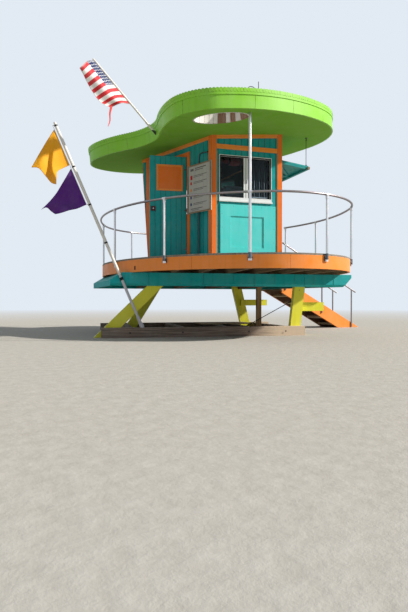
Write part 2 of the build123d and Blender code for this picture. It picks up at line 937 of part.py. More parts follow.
# Leaning flagpole, its line and its two flags
def make_lean_pole():
    middle = -box_span / 2 - lean_pole_diameter / 2
    hx = lean_pole_foot - lean_pole_reach
    hz = lean_pole_height
    foot = skid_height
    slope = (hx - lean_pole_foot) / (hz - foot)
    band_level = (box_foot + fascia_foot) / 2
    band_x = lean_pole_foot + slope * (band_level - foot)
    joint = Vector(band_x + slope * pole_band_width, middle, band_level + pole_band_width)
    low_end = (lean_pole_foot - slope * skid_height, middle, 0)
    lower = rod(low_end, joint, lean_pole_diameter)
    pole = lower + rod(joint, (hx, middle, hz), upper_pole_diameter)
    pole = pole - box_from(-out_of_reach, out_of_reach, -out_of_reach, out_of_reach, foot - 400, foot)
    save("leaning_flagpole", base * pole)
    line_low, line_high = flag_line_ends

    def line_x(z):
        return lean_pole_foot + slope * (z - foot) - flag_line_offset

    line = rod((line_x(line_low), middle, line_low), (line_x(line_high), middle, line_high), flag_line_diameter)
    for z in (line_low, line_high):
        start = (line_x(z) + flag_line_offset, middle, z)
        end = (line_x(z), middle, z)
        line = line + (rod(start, end, line_ring_thickness) - pole)
    save("flag_line", base * line)
    half = cloth_thickness / 2
    for name, hoist, fly in (
        ("yellow_flag", yellow_hoist, yellow_fly),
        ("purple_flag", purple_hoist, purple_fly),
    ):
        low, high = hoist
        outline = [(line_x(high), high), (line_x(low), low)] + [(lean_pole_foot + x, z) for x, z in fly]
        cloth = slab(outline, middle - half, middle + half) - line
        save(name, base * cloth.solids().sort_by(SortBy.VOLUME)[-1])
    run = Vector(hx - lean_pole_foot, 0, hz - foot).normalized()
    centre = Vector(band_x, middle, band_level)
    a = centre - run * pole_band_width / 2
    b = centre + run * pole_band_width / 2
    band = rod(a, b, lean_pole_diameter + 2 * pole_band_thickness) - pole
    open_side = middle + lean_pole_diameter / 2 - pole_band_thickness
    band = band - box_from(-out_of_reach, out_of_reach, open_side, out_of_reach, 0, out_of_reach)
    save("pole_band", base * band.solids().sort_by(SortBy.VOLUME)[-1])


# Ramp
def make_ramp():
    start_x, start_y = ramp_start
    place = Pos(deck_width / 2 - start_x, start_y, 0) * Rot(0, 0, ramp_turn)
    deck_hull = oval_plate(0, 0, deck_top)
    slope = math.tan(math.radians(ramp_angle))
    head = deck_top - ramp_drop
    run = head / slope
    depth = stringer_depth / math.cos(math.radians(ramp_angle))
    back = -400
    side = [
        (back, head - back * slope),
        (run, 0),
        (run - depth / slope, 0),
        (back, head - back * slope - depth),
    ]
    cap = box_from(-out_of_reach, out_of_reach, -out_of_reach, out_of_reach, fascia_foot, out_of_reach)
    stringers = []
    for low in (0, ramp_width - stringer_thickness):
        board = place * slab(side, low, low + stringer_thickness)
        stringers.append(board - deck_hull)
    save("ramp_stringers", stringers)
    level = fascia_foot - ledger_height
    ledger = oval_plate(0, level, ledger_height) - oval_plate(-ledger_thickness, level, ledger_height)
    save("ramp_ledger", ledger & place * box_from(-ramp_width, ramp_width, 0, ramp_width, level, fascia_foot))
    drop = tread_drop
    inner = stringer_thickness
    pitch = plank_width + plank_gap
    fall = math.sin(math.radians(ramp_angle))
    top = Pos(0, ramp_width / 2, head - drop) * Rot(0, ramp_angle, 0)
    ground = box_from(-out_of_reach, out_of_reach, -out_of_reach, out_of_reach, -out_of_reach, 0)
    planks = []
    for k in range(int((head - drop) / fall / pitch) + 1):
        middle = k * pitch
        plank = Pos(middle, 0, -tread_thickness / 2) * Box(plank_width, ramp_width - 2 * inner, tread_thickness)
        if k % cleat_every == 1:
            cleat = Pos(middle, 0, cleat_height / 2) * Box(cleat_width, ramp_width - 2 * inner, cleat_height)
            plank = plank + cleat
        plank = place * (top * plank - ground) - deck_hull
        planks += [piece for piece in plank.solids() if piece.volume > tread_thickness**3]
    save("ramp_walkway", planks)
    rails = []
    reach = ramp_rail_diameter / 2 - ramp_post_seat
    for y in (-reach, ramp_width + reach):
        frame = None
        for x in ramp_post_places:
            low = head - x * slope - depth * 0.7
            high = head - x * slope + ramp_rail_height
            post = rod((x, y, max(low, 10)), (x, y, high), ramp_rail_diameter)
            frame = post if frame is None else frame + post
        start = ramp_post_places[0] - 100
        end = ramp_post_places[-1] + 150
        bar = rod(
            (start, y, head - start * slope + ramp_rail_height),
            (end, y, head - end * slope + ramp_rail_height),
            ramp_rail_diameter,
        )
        frame = place * (frame + bar)
        for board in stringers:
            frame = frame - board
        rails.append(frame)
    save("ramp_handrails", rails)


# Aerial
def make_aerial():
    x, y = aerial_place
    rise = roof_under + roof_rise * x + roof_depth
    foot = Vector(x, y, rise - 20)
    mast = rod(foot, foot + Vector(0, 0, aerial_height), aerial_diameter)
    fall = roof_rise * aerial_arch_radius
    arch_path = ThreePointArc(
        foot + Vector(-aerial_diameter, 0, 0),
        foot + Vector(-aerial_arch_radius - aerial_diameter, 0, aerial_arch_radius * 0.8 - fall),
        foot + Vector(-2 * aerial_arch_radius - aerial_diameter, 0, -2 * fall),
    )
    wire = RegularPolygon(aerial_diameter / 2, 8)
    arch = sweep(Plane(origin=arch_path @ 0, z_dir=arch_path % 0) * wire, path=arch_path)
    whole = roof_block()
    save("aerial", [mast - whole, arch - whole])


os.makedirs("parts", exist_ok=True)
make_skids()
make_legs()
make_floor_box()
make_deck()
make_rail()
make_walls()
make_trims()
make_windows()
make_hatches()
make_door()
make_sign()
make_roof()
make_roof_flag()
make_lean_pole()
make_ramp()
make_aerial()
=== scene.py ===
import math
import random

import bmesh
import bpy
from mathutils import Matrix, Vector


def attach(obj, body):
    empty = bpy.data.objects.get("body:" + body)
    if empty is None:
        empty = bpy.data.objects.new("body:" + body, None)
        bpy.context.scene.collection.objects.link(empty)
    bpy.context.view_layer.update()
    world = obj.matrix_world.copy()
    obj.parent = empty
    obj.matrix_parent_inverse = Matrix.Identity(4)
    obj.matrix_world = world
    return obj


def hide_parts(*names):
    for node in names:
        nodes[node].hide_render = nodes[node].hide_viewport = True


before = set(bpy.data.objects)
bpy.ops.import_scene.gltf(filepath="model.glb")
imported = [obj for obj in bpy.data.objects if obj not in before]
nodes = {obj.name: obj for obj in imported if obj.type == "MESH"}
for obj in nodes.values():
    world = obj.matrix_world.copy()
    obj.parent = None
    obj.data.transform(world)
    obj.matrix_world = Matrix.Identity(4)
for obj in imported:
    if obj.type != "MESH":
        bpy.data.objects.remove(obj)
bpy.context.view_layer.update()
chance = random.Random(7)

UP = Vector((0, 0, 1))
BASE_TURN = math.radians(-30)
BASE_X = Vector((math.cos(BASE_TURN), math.sin(BASE_TURN), 0))
BASE_Y = UP.cross(BASE_X)
DECK_TOP = 1.60
RAIL_TOP = DECK_TOP + 1.07
SOFFIT_HEIGHT = 4.218
ROOF_SLOPE = 0.105
ROOF_THICKNESS = 0.33
ROOF_UP = Vector((-ROOF_SLOPE, 0, 1)).normalized()
ROOF_ACROSS = Vector((0, 1, 0))
ROOF_ALONG = ROOF_ACROSS.cross(ROOF_UP)
LEVEL = "level"


# Camera, light and floor
def make_camera():
    camera = bpy.data.objects.new("camera", bpy.data.cameras.new("camera"))
    camera.data.sensor_fit = "VERTICAL"
    camera.data.sensor_height = 36
    camera.data.lens = 29.5
    camera.data.clip_end = 400
    camera.location = (-8.04, -8.545, 0.723)
    tilt, heading = math.radians(90 - 0.475), math.radians(48 - 90)
    camera.rotation_euler = (tilt, 0, heading)
    bpy.context.scene.collection.objects.link(camera)
    bpy.context.scene.camera = camera


def make_lights():
    sun = bpy.data.objects.new("sun", bpy.data.lights.new("sun", "SUN"))
    sun.data.energy = 5.2
    sun.data.angle = math.radians(2.5)
    sun.data.color = (1.0, 0.965, 0.91)
    travel = Vector((-0.656, 0.755, -0.637))
    sun.rotation_euler = travel.to_track_quat("-Z", "Y").to_euler()
    bpy.context.scene.collection.objects.link(sun)


# Shader nodes
def screen(red, green, blue):
    """A colour as a screen shows it, in the values that shader nodes take."""
    values = []
    for level in (red, green, blue):
        part = level / 255
        values.append(part / 12.92 if part <= 0.04045 else ((part + 0.055) / 1.055) ** 2.4)
    return (*values, 1.0)


def shade(colour, level):
    """A colour made darker, or lighter with a level over 1."""
    return (*[min(1.0, v * level) for v in colour[:3]], 1.0)


BACKDROP = screen(226, 234, 243)
BARE_WOOD = screen(150, 128, 102)
DUST = screen(205, 192, 170)
BLACK, WHITE = (0, 0, 0, 1), (1, 1, 1, 1)


class Graph:
    """Adds nodes to a tree and wires them."""

    def __init__(self, tree):
        self.tree = tree
        tree.nodes.clear()

    def add(self, kind, inputs=None, **settings):
        node = self.tree.nodes.new(kind)
        for name, value in settings.items():
            setattr(node, name, value)
        for name, value in (inputs or {}).items():
            self.wire(node.inputs[name], value)
        return node

    def wire(self, socket, value):
        if isinstance(value, bpy.types.NodeSocket):
            self.tree.links.new(value, socket)
        else:
            socket.default_value = value

    def math(self, operation, first, second=0.0):
        return self.add("ShaderNodeMath", {0: first, 1: second}, operation=operation).outputs[0]

    def vector(self, operation, first, second=(0, 0, 0), scale=1.0):
        sizes = {0: first, 3: scale} if operation == "SCALE" else {0: first, 1: second}
        node = self.add("ShaderNodeVectorMath", sizes, operation=operation)
        return node.outputs["Value" if operation in ("LENGTH", "DOT_PRODUCT") else "Vector"]

    def spread(self, value, low, high, start=0.0, end=1.0):
        """Maps low to high onto start to end, and holds the ends."""
        sizes = {"Value": value, "From Min": low, "From Max": high, "To Min": start, "To Max": end}
        return self.add("ShaderNodeMapRange", sizes).outputs["Result"]

    def mix(self, factor, first, second, blend="MIX"):
        node = self.add("ShaderNodeMix", data_type="RGBA", blend_type=blend)
        self.wire(node.inputs[0], factor)
        self.wire(node.inputs[6], first)
        self.wire(node.inputs[7], second)
        return node.outputs[2]

    def over(self, colour, mask, amount, tint):
        """Lays a tint over a colour where the mask is, by that amount."""
        return self.mix(self.math("MULTIPLY", mask, amount), colour, tint)

    def noise(self, vector, scale, detail=2.0, rough=0.5):
        sizes = {"Vector": vector, "Scale": scale, "Detail": detail, "Roughness": rough}
        return self.add("ShaderNodeTexNoise", sizes).outputs[0]

    def split(self, vector):
        return self.add("ShaderNodeSeparateXYZ", {0: vector}).outputs

    def join(self, x, y, z):
        return self.add("ShaderNodeCombineXYZ", {0: x, 1: y, 2: z}).outputs[0]

    def place(self):
        return self.add("ShaderNodeTexCoord").outputs["Object"]

    def mark(self, name):
        """A number that the mesh carries, such as the tone of a board."""
        return self.add("ShaderNodeAttribute", attribute_name=name).outputs["Fac"]

    def bump(self, height, strength, distance, rounding=0.0):
        """A normal that follows a height, over edges that are rounded by a radius."""
        sizes = {"Height": height, "Strength": strength, "Distance": distance}
        if rounding:
            sizes["Normal"] = self.add("ShaderNodeBevel", {"Radius": rounding}, samples=4).outputs[0]
        return self.add("ShaderNodeBump", sizes).outputs[0]

    def looked_at(self):
        """1 for the camera, for reflections and through glass, and 0 for light."""
        rays = self.add("ShaderNodeLightPath").outputs
        indirect = self.math("MAXIMUM", rays["Is Glossy Ray"], rays["Is Transmission Ray"])
        return self.math("MAXIMUM", rays["Is Camera Ray"], indirect)

    def group(self, tree, **inputs):
        node = self.add("ShaderNodeGroup", node_tree=tree)
        for name, value in inputs.items():
            self.wire(node.inputs[name], value)
        return node.outputs


def new_group(name, inputs, outputs):
    """An empty node group. Sockets are given as (name, kind, start value)."""
    tree = bpy.data.node_groups.new(name, "ShaderNodeTree")
    graph = Graph(tree)
    for label, kind, value in inputs:
        socket = tree.interface.new_socket(label, in_out="INPUT", socket_type="NodeSocket" + kind)
        if value is not None:
            socket.default_value = value
    for label in outputs:
        tree.interface.new_socket(label, in_out="OUTPUT", socket_type="NodeSocketFloat")
    source = graph.add("NodeGroupInput").outputs
    sink = graph.add("NodeGroupOutput").inputs
    return tree, graph, source, sink


def make_grain_group():
    """Wood fibre on a vector that is already stretched along the grain."""
    tree, g, source, sink = new_group("wood grain", [("Vector", "Vector", None)], ["Fibre", "Rings"])
    bend = g.noise(g.vector("SCALE", source["Vector"], scale=0.22), 1.0, 2.0)
    moved = g.vector("ADD", source["Vector"], g.join(g.math("MULTIPLY", bend, 2.5), bend, 0.0))
    fibre = g.noise(moved, 1.0, 6.0, 0.62)
    g.wire(sink["Fibre"], g.spread(fibre, 0.32, 0.7))
    rings = g.noise(g.vector("SCALE", moved, scale=0.3), 1.0, 3.0, 0.55)
    folded = g.math("PINGPONG", g.math("MULTIPLY", rings, 6.0), 0.5)
    g.wire(sink["Rings"], g.spread(folded, 0.0, 0.5))
    return tree


def make_weather_group():
    """Rain streaks, sun-bleached blotches and dust on what faces up."""
    tree, g, source, sink = new_group("weather", [("Vector", "Vector", None)], ["Streak", "Blotch", "Dust"])
    narrow = g.vector("MULTIPLY", source["Vector"], (11.0, 11.0, 0.7))
    wide = g.noise(source["Vector"], 1.6, 4.0, 0.6)
    streak = g.spread(g.noise(narrow, 1.0, 4.0, 0.6), 0.5, 0.78)
    g.wire(sink["Streak"], g.math("MULTIPLY", streak, g.spread(wide, 0.36, 0.62)))
    g.wire(sink["Blotch"], g.spread(g.noise(source["Vector"], 3.3, 5.0, 0.65), 0.36, 0.68))
    facing = g.split(g.add("ShaderNodeNewGeometry").outputs["Normal"])[2]
    speck = g.spread(g.noise(source["Vector"], 60.0, 3.0, 0.7), 0.3, 0.7, 0.45, 1.0)
    g.wire(sink["Dust"], g.math("MULTIPLY", g.spread(facing, 0.5, 0.95), speck))
    return tree


def make_edge_group():
    """Where a finish rubs off along the edges."""
    inputs = [("Vector", "Vector", None), ("Radius", "Float", 0.008), ("Amount", "Float", 0.5)]
    tree, g, source, sink = new_group("edge wear", inputs, ["Mask"])
    rounded = g.add("ShaderNodeBevel", {"Radius": source["Radius"]}, samples=4).outputs[0]
    facing = g.add("ShaderNodeNewGeometry").outputs["Normal"]
    edge = g.math("SUBTRACT", 1.0, g.vector("DOT_PRODUCT", rounded, facing))
    chips = g.noise(source["Vector"], 23.0, 5.0, 0.7)
    limit = g.math("SUBTRACT", 0.74, g.math("MULTIPLY", source["Amount"], 0.4))
    rubbed = g.math("GREATER_THAN", chips, limit)
    g.wire(sink["Mask"], g.math("MULTIPLY", g.spread(edge, 0.004, 0.1), rubbed))
    return tree


def make_weave_group():
    """Crossed threads. The vector is in metres on the cloth."""
    inputs = [("Vector", "Vector", None), ("Thread", "Float", 0.0012)]
    tree, g, source, sink = new_group("weave", inputs, ["Height", "Slub"])
    turns = g.math("DIVIDE", math.pi, source["Thread"])
    x, y, _ = g.split(source["Vector"])
    warp = g.math("ABSOLUTE", g.math("SINE", g.math("MULTIPLY", x, turns)))
    weft = g.math("ABSOLUTE", g.math("SINE", g.math("MULTIPLY", y, turns)))
    g.wire(sink["Height"], g.math("MULTIPLY", warp, weft))
    long = g.vector("MULTIPLY", source["Vector"], (9.0, 160.0, 1.0))
    g.wire(sink["Slub"], g.noise(long, 1.0, 3.0))
    return tree


GRAIN = make_grain_group()
WEATHER = make_weather_group()
EDGE = make_edge_group()
WEAVE = make_weave_group()


def material(name, roughness, metallic=0.0):
    """A new material, its graph and the inputs of its shader."""
    made = bpy.data.materials.new(name)
    made.use_nodes = True
    graph = Graph(made.node_tree)
    shader = graph.add("ShaderNodeBsdfPrincipled")
    shader.inputs["Roughness"].default_value = roughness
    shader.inputs["Metallic"].default_value = metallic
    shader.inputs["Specular IOR Level"].default_value = 0.5 if metallic else 0.2
    sink = graph.add("ShaderNodeOutputMaterial")
    graph.wire(sink.inputs["Surface"], shader.outputs[0])
    return made, graph, shader.inputs


def along_grain(g, grain, fine, coarse):
    """Object coordinates turned and stretched so that fibres run along the grain."""
    if grain == LEVEL:
        stretch, turn = (1 / coarse, 1 / coarse, 1 / fine), (0, 0, 0)
    else:
        stretch = (1 / fine, 1 / fine, 1 / coarse)
        turn = UP.rotation_difference(Vector(grain)).to_euler()
    sizes = {"Vector": g.place(), "Rotation": tuple(turn), "Scale": stretch}
    return g.add("ShaderNodeMapping", sizes, vector_type="TEXTURE").outputs[0]


def painted(name, paint, grain=(0, 0, 1), chips=0.5, streaks=0.45, dust=0.3, gloss=0.42, tone=0.35):
    """Gloss paint on timber, with fibre, rain streaks, bleached blotches, dust and chipped edges."""
    made, g, shader = material(name, gloss)
    wood = g.group(GRAIN, Vector=along_grain(g, grain, 70.0, 2.6))
    sky = g.group(WEATHER, Vector=g.place())
    wear = g.group(EDGE, Vector=g.place(), Amount=chips)["Mask"]
    colour = g.over(paint, g.mark("tone"), tone, shade(paint, 0.72))
    colour = g.over(colour, sky["Blotch"], 0.16, g.mix(0.3, paint, WHITE))
    colour = g.over(colour, sky["Streak"], streaks, shade(paint, 0.5))
    colour = g.over(colour, wood["Fibre"], 0.1, shade(paint, 0.6))
    colour = g.over(colour, sky["Dust"], dust, DUST)
    weathered = g.mix(wood["Fibre"], shade(BARE_WOOD, 0.55), BARE_WOOD)
    g.wire(shader["Base Color"], g.mix(wear, colour, weathered))
    rough = g.spread(sky["Blotch"], 0.0, 1.0, gloss - 0.07, gloss + 0.14)
    g.wire(shader["Roughness"], g.math("MAXIMUM", rough, g.math("MULTIPLY", wear, 0.8)))
    height = g.math("SUBTRACT", g.math("MULTIPLY", wood["Fibre"], 0.5), wear)
    g.wire(shader["Normal"], g.bump(height, 0.35, 0.0012, 0.004))
    return made


def timber(name, pale, dark, grain=(0, 0, 1), silver=0.3, fine=55.0, bleach=None):
    """Bare sawn timber with rings, silvered patches and damp streaks, paler past a place on BASE_X from
    bleaching and painted sunlight.
    """
    made, g, shader = material(name, 0.8)
    wood = g.group(GRAIN, Vector=along_grain(g, grain, fine, 1.6))
    sky = g.group(WEATHER, Vector=g.place())
    colour = g.mix(wood["Rings"], dark, pale)
    colour = g.over(colour, wood["Fibre"], 0.55, shade(dark, 0.6))
    colour = g.over(colour, g.mark("tone"), 0.6, shade(dark, 0.8))
    colour = g.over(colour, sky["Blotch"], silver, screen(158, 152, 142))
    colour = g.over(colour, sky["Streak"], 0.4, shade(dark, 0.4))
    # Past that place the wood turns pale: partly bleaching, partly painted sunlight on the end that the sun
    # reaches.
    if bleach:
        along = g.vector("DOT_PRODUCT", g.place(), tuple(BASE_X))
        ragged = g.math("ADD", along, g.spread(wood["Fibre"], 0.0, 1.0, -0.2, 0.2))
        past = g.spread(ragged, bleach - 0.25, bleach + 0.35, 0.0, 0.8)
        colour = g.mix(past, colour, screen(226, 204, 176))
    wear = g.group(EDGE, Vector=g.place(), Amount=0.8, Radius=0.01)["Mask"]
    colour = g.over(colour, wear, 0.6, shade(pale, 1.25))
    g.wire(shader["Base Color"], g.over(colour, sky["Dust"], 0.3, DUST))
    g.wire(shader["Roughness"], g.spread(wood["Fibre"], 0.0, 1.0, 0.7, 0.92))
    g.wire(shader["Normal"], g.bump(wood["Fibre"], 0.6, 0.002, 0.006))
    return made


def metal(name, colour, roughness, spangle=0.25, rust=0.2, metallic=1.0, above=None):
    """Steel with a mottled or painted skin, scuffs and a little rust, and another colour above a height."""
    made, g, shader = material(name, roughness, metallic)
    place = g.place()
    cells = g.add("ShaderNodeTexVoronoi", {"Vector": place, "Scale": 95.0}).outputs["Color"]
    mottle = g.mix(spangle, colour, cells, "SOFT_LIGHT")
    scuff = g.spread(g.noise(g.vector("MULTIPLY", place, (40.0, 40.0, 3.0)), 1.0, 5.0, 0.7), 0.42, 0.7)
    mottle = g.over(mottle, scuff, 0.35, shade(colour, 0.6))
    if above:
        other, height = above
        mottle = g.mix(g.spread(g.split(place)[2], height - 0.003, height + 0.003), mottle, other)
    spots = g.math("MULTIPLY", g.spread(g.noise(place, 14.0, 6.0, 0.72), 0.62, 0.7), rust)
    g.wire(shader["Base Color"], g.mix(spots, mottle, screen(120, 70, 38)))
    rough = g.spread(scuff, 0.0, 1.0, roughness - 0.06, roughness + 0.16)
    g.wire(shader["Roughness"], g.math("ADD", rough, spots))
    g.wire(shader["Normal"], g.bump(scuff, 0.2, 0.0006))
    return made


def cloth(name, colour, seam, thread=0.0014):
    """Woven nylon with slubs, grime and a stitched edge. Its colour may be a function of the graph."""
    made, g, shader = material(name, 0.62)
    shader["Sheen Weight"].default_value = 0.08
    flat = g.add("ShaderNodeUVMap", uv_map="cloth").outputs[0]
    weave = g.group(WEAVE, Vector=flat, Thread=thread)
    sky = g.group(WEATHER, Vector=g.place())
    tint = colour(g) if callable(colour) else colour
    tint = g.over(tint, g.spread(weave["Slub"], 0.35, 0.7), 0.16, g.mix(0.5, tint, BLACK))
    tint = g.over(tint, sky["Blotch"], 0.12, g.mix(0.3, tint, WHITE))
    g.wire(shader["Base Color"], g.over(tint, g.mark("hem"), 0.5, seam))
    g.wire(shader["Roughness"], g.spread(weave["Height"], 0.0, 1.0, 0.7, 0.55))
    g.wire(shader["Normal"], g.bump(weave["Height"], 0.25, 0.0004))
    return made


def striped_colour(g):
    """Thirteen stripes that run to the fly, and a blue canton with rows of small stars."""
    u, v, _ = g.split(g.add("ShaderNodeUVMap", uv_map="unit").outputs[0])
    canton_wide, canton_foot = 0.4, 6 / 13
    stripe = g.math("FLOOR", g.math("MULTIPLY", v, 13.0))
    odd = g.math("GREATER_THAN", g.math("MODULO", g.math("ADD", stripe, 0.5), 2.0), 1.0)
    bands = g.mix(odd, screen(206, 34, 44), screen(238, 236, 234))
    beside = g.math("LESS_THAN", u, canton_wide)
    canton = g.math("MULTIPLY", beside, g.math("GREATER_THAN", v, canton_foot))
    row = g.math("MULTIPLY", g.math("SUBTRACT", v, canton_foot), 9 * 13 / 7)
    column = g.math("MULTIPLY", u, 5.5 / canton_wide)
    shift = g.math("MULTIPLY", g.math("MODULO", g.math("FLOOR", row), 2.0), 0.5)
    x = g.math("SUBTRACT", g.math("FRACT", g.math("ADD", column, shift)), 0.5)
    y = g.math("SUBTRACT", g.math("FRACT", row), 0.5)
    reach = g.math("SQRT", g.math("ADD", g.math("MULTIPLY", x, x), g.math("MULTIPLY", y, y)))
    angle = g.math("ARCTAN2", x, y)
    points = g.math("MULTIPLY", g.math("COSINE", g.math("MULTIPLY", angle, 5.0)), 0.09)
    star = g.math("LESS_THAN", reach, g.math("ADD", points, 0.25))
    field = g.mix(star, screen(36, 52, 104), screen(232, 234, 240))
    return g.mix(canton, bands, field)


def window_glass():
    """Clear glass with salt haze, which roughens it in places."""
    made, g, shader = material("glass", 0.04)
    shader["Transmission Weight"].default_value = 1.0
    shader["IOR"].default_value = 1.2
    haze = g.spread(g.noise(g.place(), 7.0, 5.0, 0.65), 0.45, 0.75, 0.03, 0.2)
    g.wire(shader["Roughness"], haze)
    g.wire(shader["Base Color"], g.mix(haze, screen(142, 156, 160), screen(186, 192, 190)))
    return made


def make_finishes():
    """Every finish of the tower, by name."""
    made = {}

    def paint(name, colour, grain=(0, 0, 1), **settings):
        made[name] = painted(name, colour, grain, **settings)

    def wood(name, pale, dark, grain=(0, 0, 1), **settings):
        made[name] = timber(name, screen(*pale), screen(*dark), grain, **settings)

    def steel(name, colour, roughness, **settings):
        made[name] = metal(name, screen(*colour), roughness, **settings)

    def coated(name, colour, roughness, rust, spangle=0.1, **settings):
        steel(name, colour, roughness, spangle=spangle, rust=rust, metallic=0.0, **settings)

    teal, lime, off_white = screen(0, 158, 160), screen(142, 211, 58), (236, 232, 224)
    paint("teal", teal)
    paint("teal base", screen(0, 174, 176), LEVEL, streaks=0.5, dust=0.15, gloss=0.6)
    paint("turquoise", screen(88, 220, 216), streaks=0.25)
    paint("teal shadow", shade(teal, 0.3))
    # The underside of the roof is a darker, more olive copy of the lime: painted shade under the roof.
    paint("soffit", screen(122, 182, 46), (1, 0, 0), streaks=0.0, tone=0.2, chips=0.1, gloss=0.85)
    paint("sign post", shade(teal, 0.55))
    paint("blind", screen(104, 110, 118), chips=0.0, tone=0.6, gloss=0.7)
    paint("box white", screen(226, 232, 242), gloss=0.35, streaks=0.1)
    paint("white frame", screen(234, 237, 238), streaks=0.2, tone=0.1, dust=0.1)
    paint("float red", screen(206, 40, 34), gloss=0.35)
    paint("orange", screen(242, 120, 34), streaks=0.35)
    paint("orange level", screen(252, 147, 58), LEVEL, streaks=0.35, tone=0.2)
    paint("lime", lime, LEVEL, streaks=0.35, tone=0.15, dust=0.15)
    paint("lime sheet", lime, (1, 0, 0), streaks=0.0, tone=0.16, chips=0.15, gloss=0.82)
    paint("leg", screen(240, 236, 66), (0.4, 0, 0.9), chips=0.6)
    # White boards on the sunlit side of the roof hole: partly painted sunlight.
    paint("white sunlit lining", screen(232, 230, 222), streaks=0.6, chips=0.7, tone=0.4)
    # The skid's end past 0.75 m is paler: bleached wood and painted sunlight.
    wood("skid", (176, 154, 138), (116, 98, 86), BASE_X, bleach=0.75)
    wood("sleeper", (136, 116, 94), (84, 66, 52), BASE_Y)
    wood("joist", (168, 146, 116), (112, 92, 70), BASE_Y, silver=0.15)
    wood("floor joist", (150, 128, 100), (96, 78, 60), BASE_Y, silver=0.15)
    wood("deck", (176, 166, 150), (120, 108, 94), BASE_X, silver=0.5)
    wood("raw", (196, 158, 112), (140, 104, 68))
    wood("slat", (226, 206, 178), (176, 152, 122), (0, 1, 0))
    wood("plank", (150, 112, 80), (88, 60, 42), (0, 1, 0))
    # Boards with rust on the shaded side of the roof hole: real rust and painted shade.
    wood("rusty shaded board", (190, 152, 120), (134, 84, 52), silver=0.4)
    wood("plywood", (214, 190, 148), (182, 152, 108), BASE_X, silver=0.2, fine=26.0)
    wood("sign frame", (176, 156, 128), (132, 108, 84), LEVEL)
    # Posts and rails are lighter and darker copies of one galvanised steel: painted light on the posts and a
    # painted dark reflection along the rails.
    steel("galvanised", (212, 210, 210), 0.36)
    steel("rail steel dark reflection", (148, 140, 140), 0.4)
    steel("dull steel", (96, 104, 112), 0.55, spangle=0.15, rust=0.5)
    steel("bright steel", (200, 202, 204), 0.3, spangle=0.1, rust=0.1)
    steel("dark steel", (34, 34, 36), 0.5, spangle=0.1, rust=0.4, metallic=0.6)
    coated("socket", (58, 64, 60), 0.5, 0.4, above=(screen(*off_white), 4.165))
    coated("black plastic", (26, 26, 28), 0.55, 0.0, spangle=0.05)
    coated("lock red", (84, 34, 40), 0.5, 0.3)
    coated("pole white", off_white, 0.4, 0.2)
    coated("pole grey", (212, 210, 216), 0.45, 0.2, spangle=0.12)
    coated("sign", (190, 190, 184), 0.55, 0.3, spangle=0.15)
    coated("mark red", (196, 34, 36), 0.5, 0.1)
    coated("mark orange", (232, 140, 30), 0.5, 0.1)
    coated("mark blue", (30, 50, 110), 0.5, 0.1)
    coated("mark grey", (110, 110, 108), 0.5, 0.1)
    for name, colour, seam in (
        ("yellow cloth", screen(252, 176, 16), (206, 120, 10)),
        ("purple cloth", screen(84, 20, 126), (46, 12, 74)),
        ("striped cloth", striped_colour, (230, 226, 220)),
        ("ribbon red", screen(206, 44, 38), (170, 30, 28)),
    ):
        made[name] = cloth(name, colour, screen(*seam))
    made["line"] = cloth("line", screen(232, 230, 224), screen(180, 178, 170), 0.003)
    made["glass"] = window_glass()
    return made


def make_floor():
    """A wide pale floor that fades into the backdrop far from the tower, and the light round it."""
    bm = bmesh.new()
    bmesh.ops.create_circle(bm, cap_ends=True, radius=150, segments=96)
    floor = mesh_piece("floor", bm)
    made, g, shader = material("pale floor", 0.9)
    place = g.place()
    grit = g.noise(place, 9.0, 6.0, 0.7)
    tint = g.mix(g.spread(grit, 0.3, 0.7), screen(176, 170, 160), screen(192, 187, 178))
    g.wire(shader["Base Color"], tint)
    g.wire(shader["Normal"], g.bump(grit, 0.3, 0.03))
    far = g.spread(g.vector("LENGTH", place), 9.0, 38.0)
    lit = shader["Base Color"].node.outputs[0]
    glow = g.add("ShaderNodeEmission", {"Color": BACKDROP, "Strength": 1.0}).outputs[0]
    blend = g.add("ShaderNodeMixShader", {0: g.math("MULTIPLY", far, g.looked_at()), 1: lit, 2: glow})
    sink = next(n for n in g.tree.nodes if n.type == "OUTPUT_MATERIAL")
    g.wire(sink.inputs["Surface"], blend.outputs[0])
    floor.data.materials.append(made)

    world = bpy.data.worlds.new("studio")
    world.use_nodes = True
    bpy.context.scene.world = world
    w = Graph(world.node_tree)
    soft = w.add("ShaderNodeBackground", {"Color": (0.80, 0.90, 1.0, 1.0), "Strength": 0.37}).outputs[0]
    plain = w.add("ShaderNodeBackground", {"Color": BACKDROP, "Strength": 1.0}).outputs[0]
    blend = w.add("ShaderNodeMixShader", {0: w.looked_at(), 1: soft, 2: plain})
    w.wire(w.add("ShaderNodeOutputWorld").inputs["Surface"], blend.outputs[0])


# Mesh building
def mesh_piece(name, bm, finish=None):
    mesh = bpy.data.meshes.new(name)
    bm.to_mesh(mesh)
    bm.free()
    piece = bpy.data.objects.new(name, mesh)
    bpy.context.scene.collection.objects.link(piece)
    if finish:
        mesh.materials.append(finish)
    return piece


def placed(origin, along, up=UP):
    """A place whose x runs along, and whose z is as near to up as it can be."""
    x = Vector(along).normalized()
    y = Vector(up).cross(x).normalized()
    turn = Matrix((x, y, x.cross(y))).transposed().to_4x4()
    return Matrix.Translation(Vector(origin)) @ turn


def base_point(x, y, z):
    """A point of the skid and leg frame, which is turned under the deck."""
    return BASE_X * x + BASE_Y * y + UP * z


def soffit_height(x):
    """The height of the roof's underside."""
    return SOFFIT_HEIGHT + ROOF_SLOPE * x


def roof_point(x, y, lift):
    """A point over the roof's underside."""
    return Vector((0, 0, SOFFIT_HEIGHT)) + ROOF_ALONG * x + ROOF_ACROSS * y + ROOF_UP * lift


# The corners of each wall on the deck, seen from outside from left to right, and its lean
WALLS = {
    "side right": ((-1.10, -1.086), (0.26, -1.748), 0.0),
    "front right": ((0.26, -1.748), (0.96, 0.0), 0.0),
    "front left": ((0.96, 0.0), (0.26, 1.748), 0.0),
    "side left": ((0.26, 1.748), (-1.10, 1.086), 0.09),
}


def wall_length(wall):
    start, end, _ = WALLS[wall]
    return (Vector(end) - Vector(start)).length


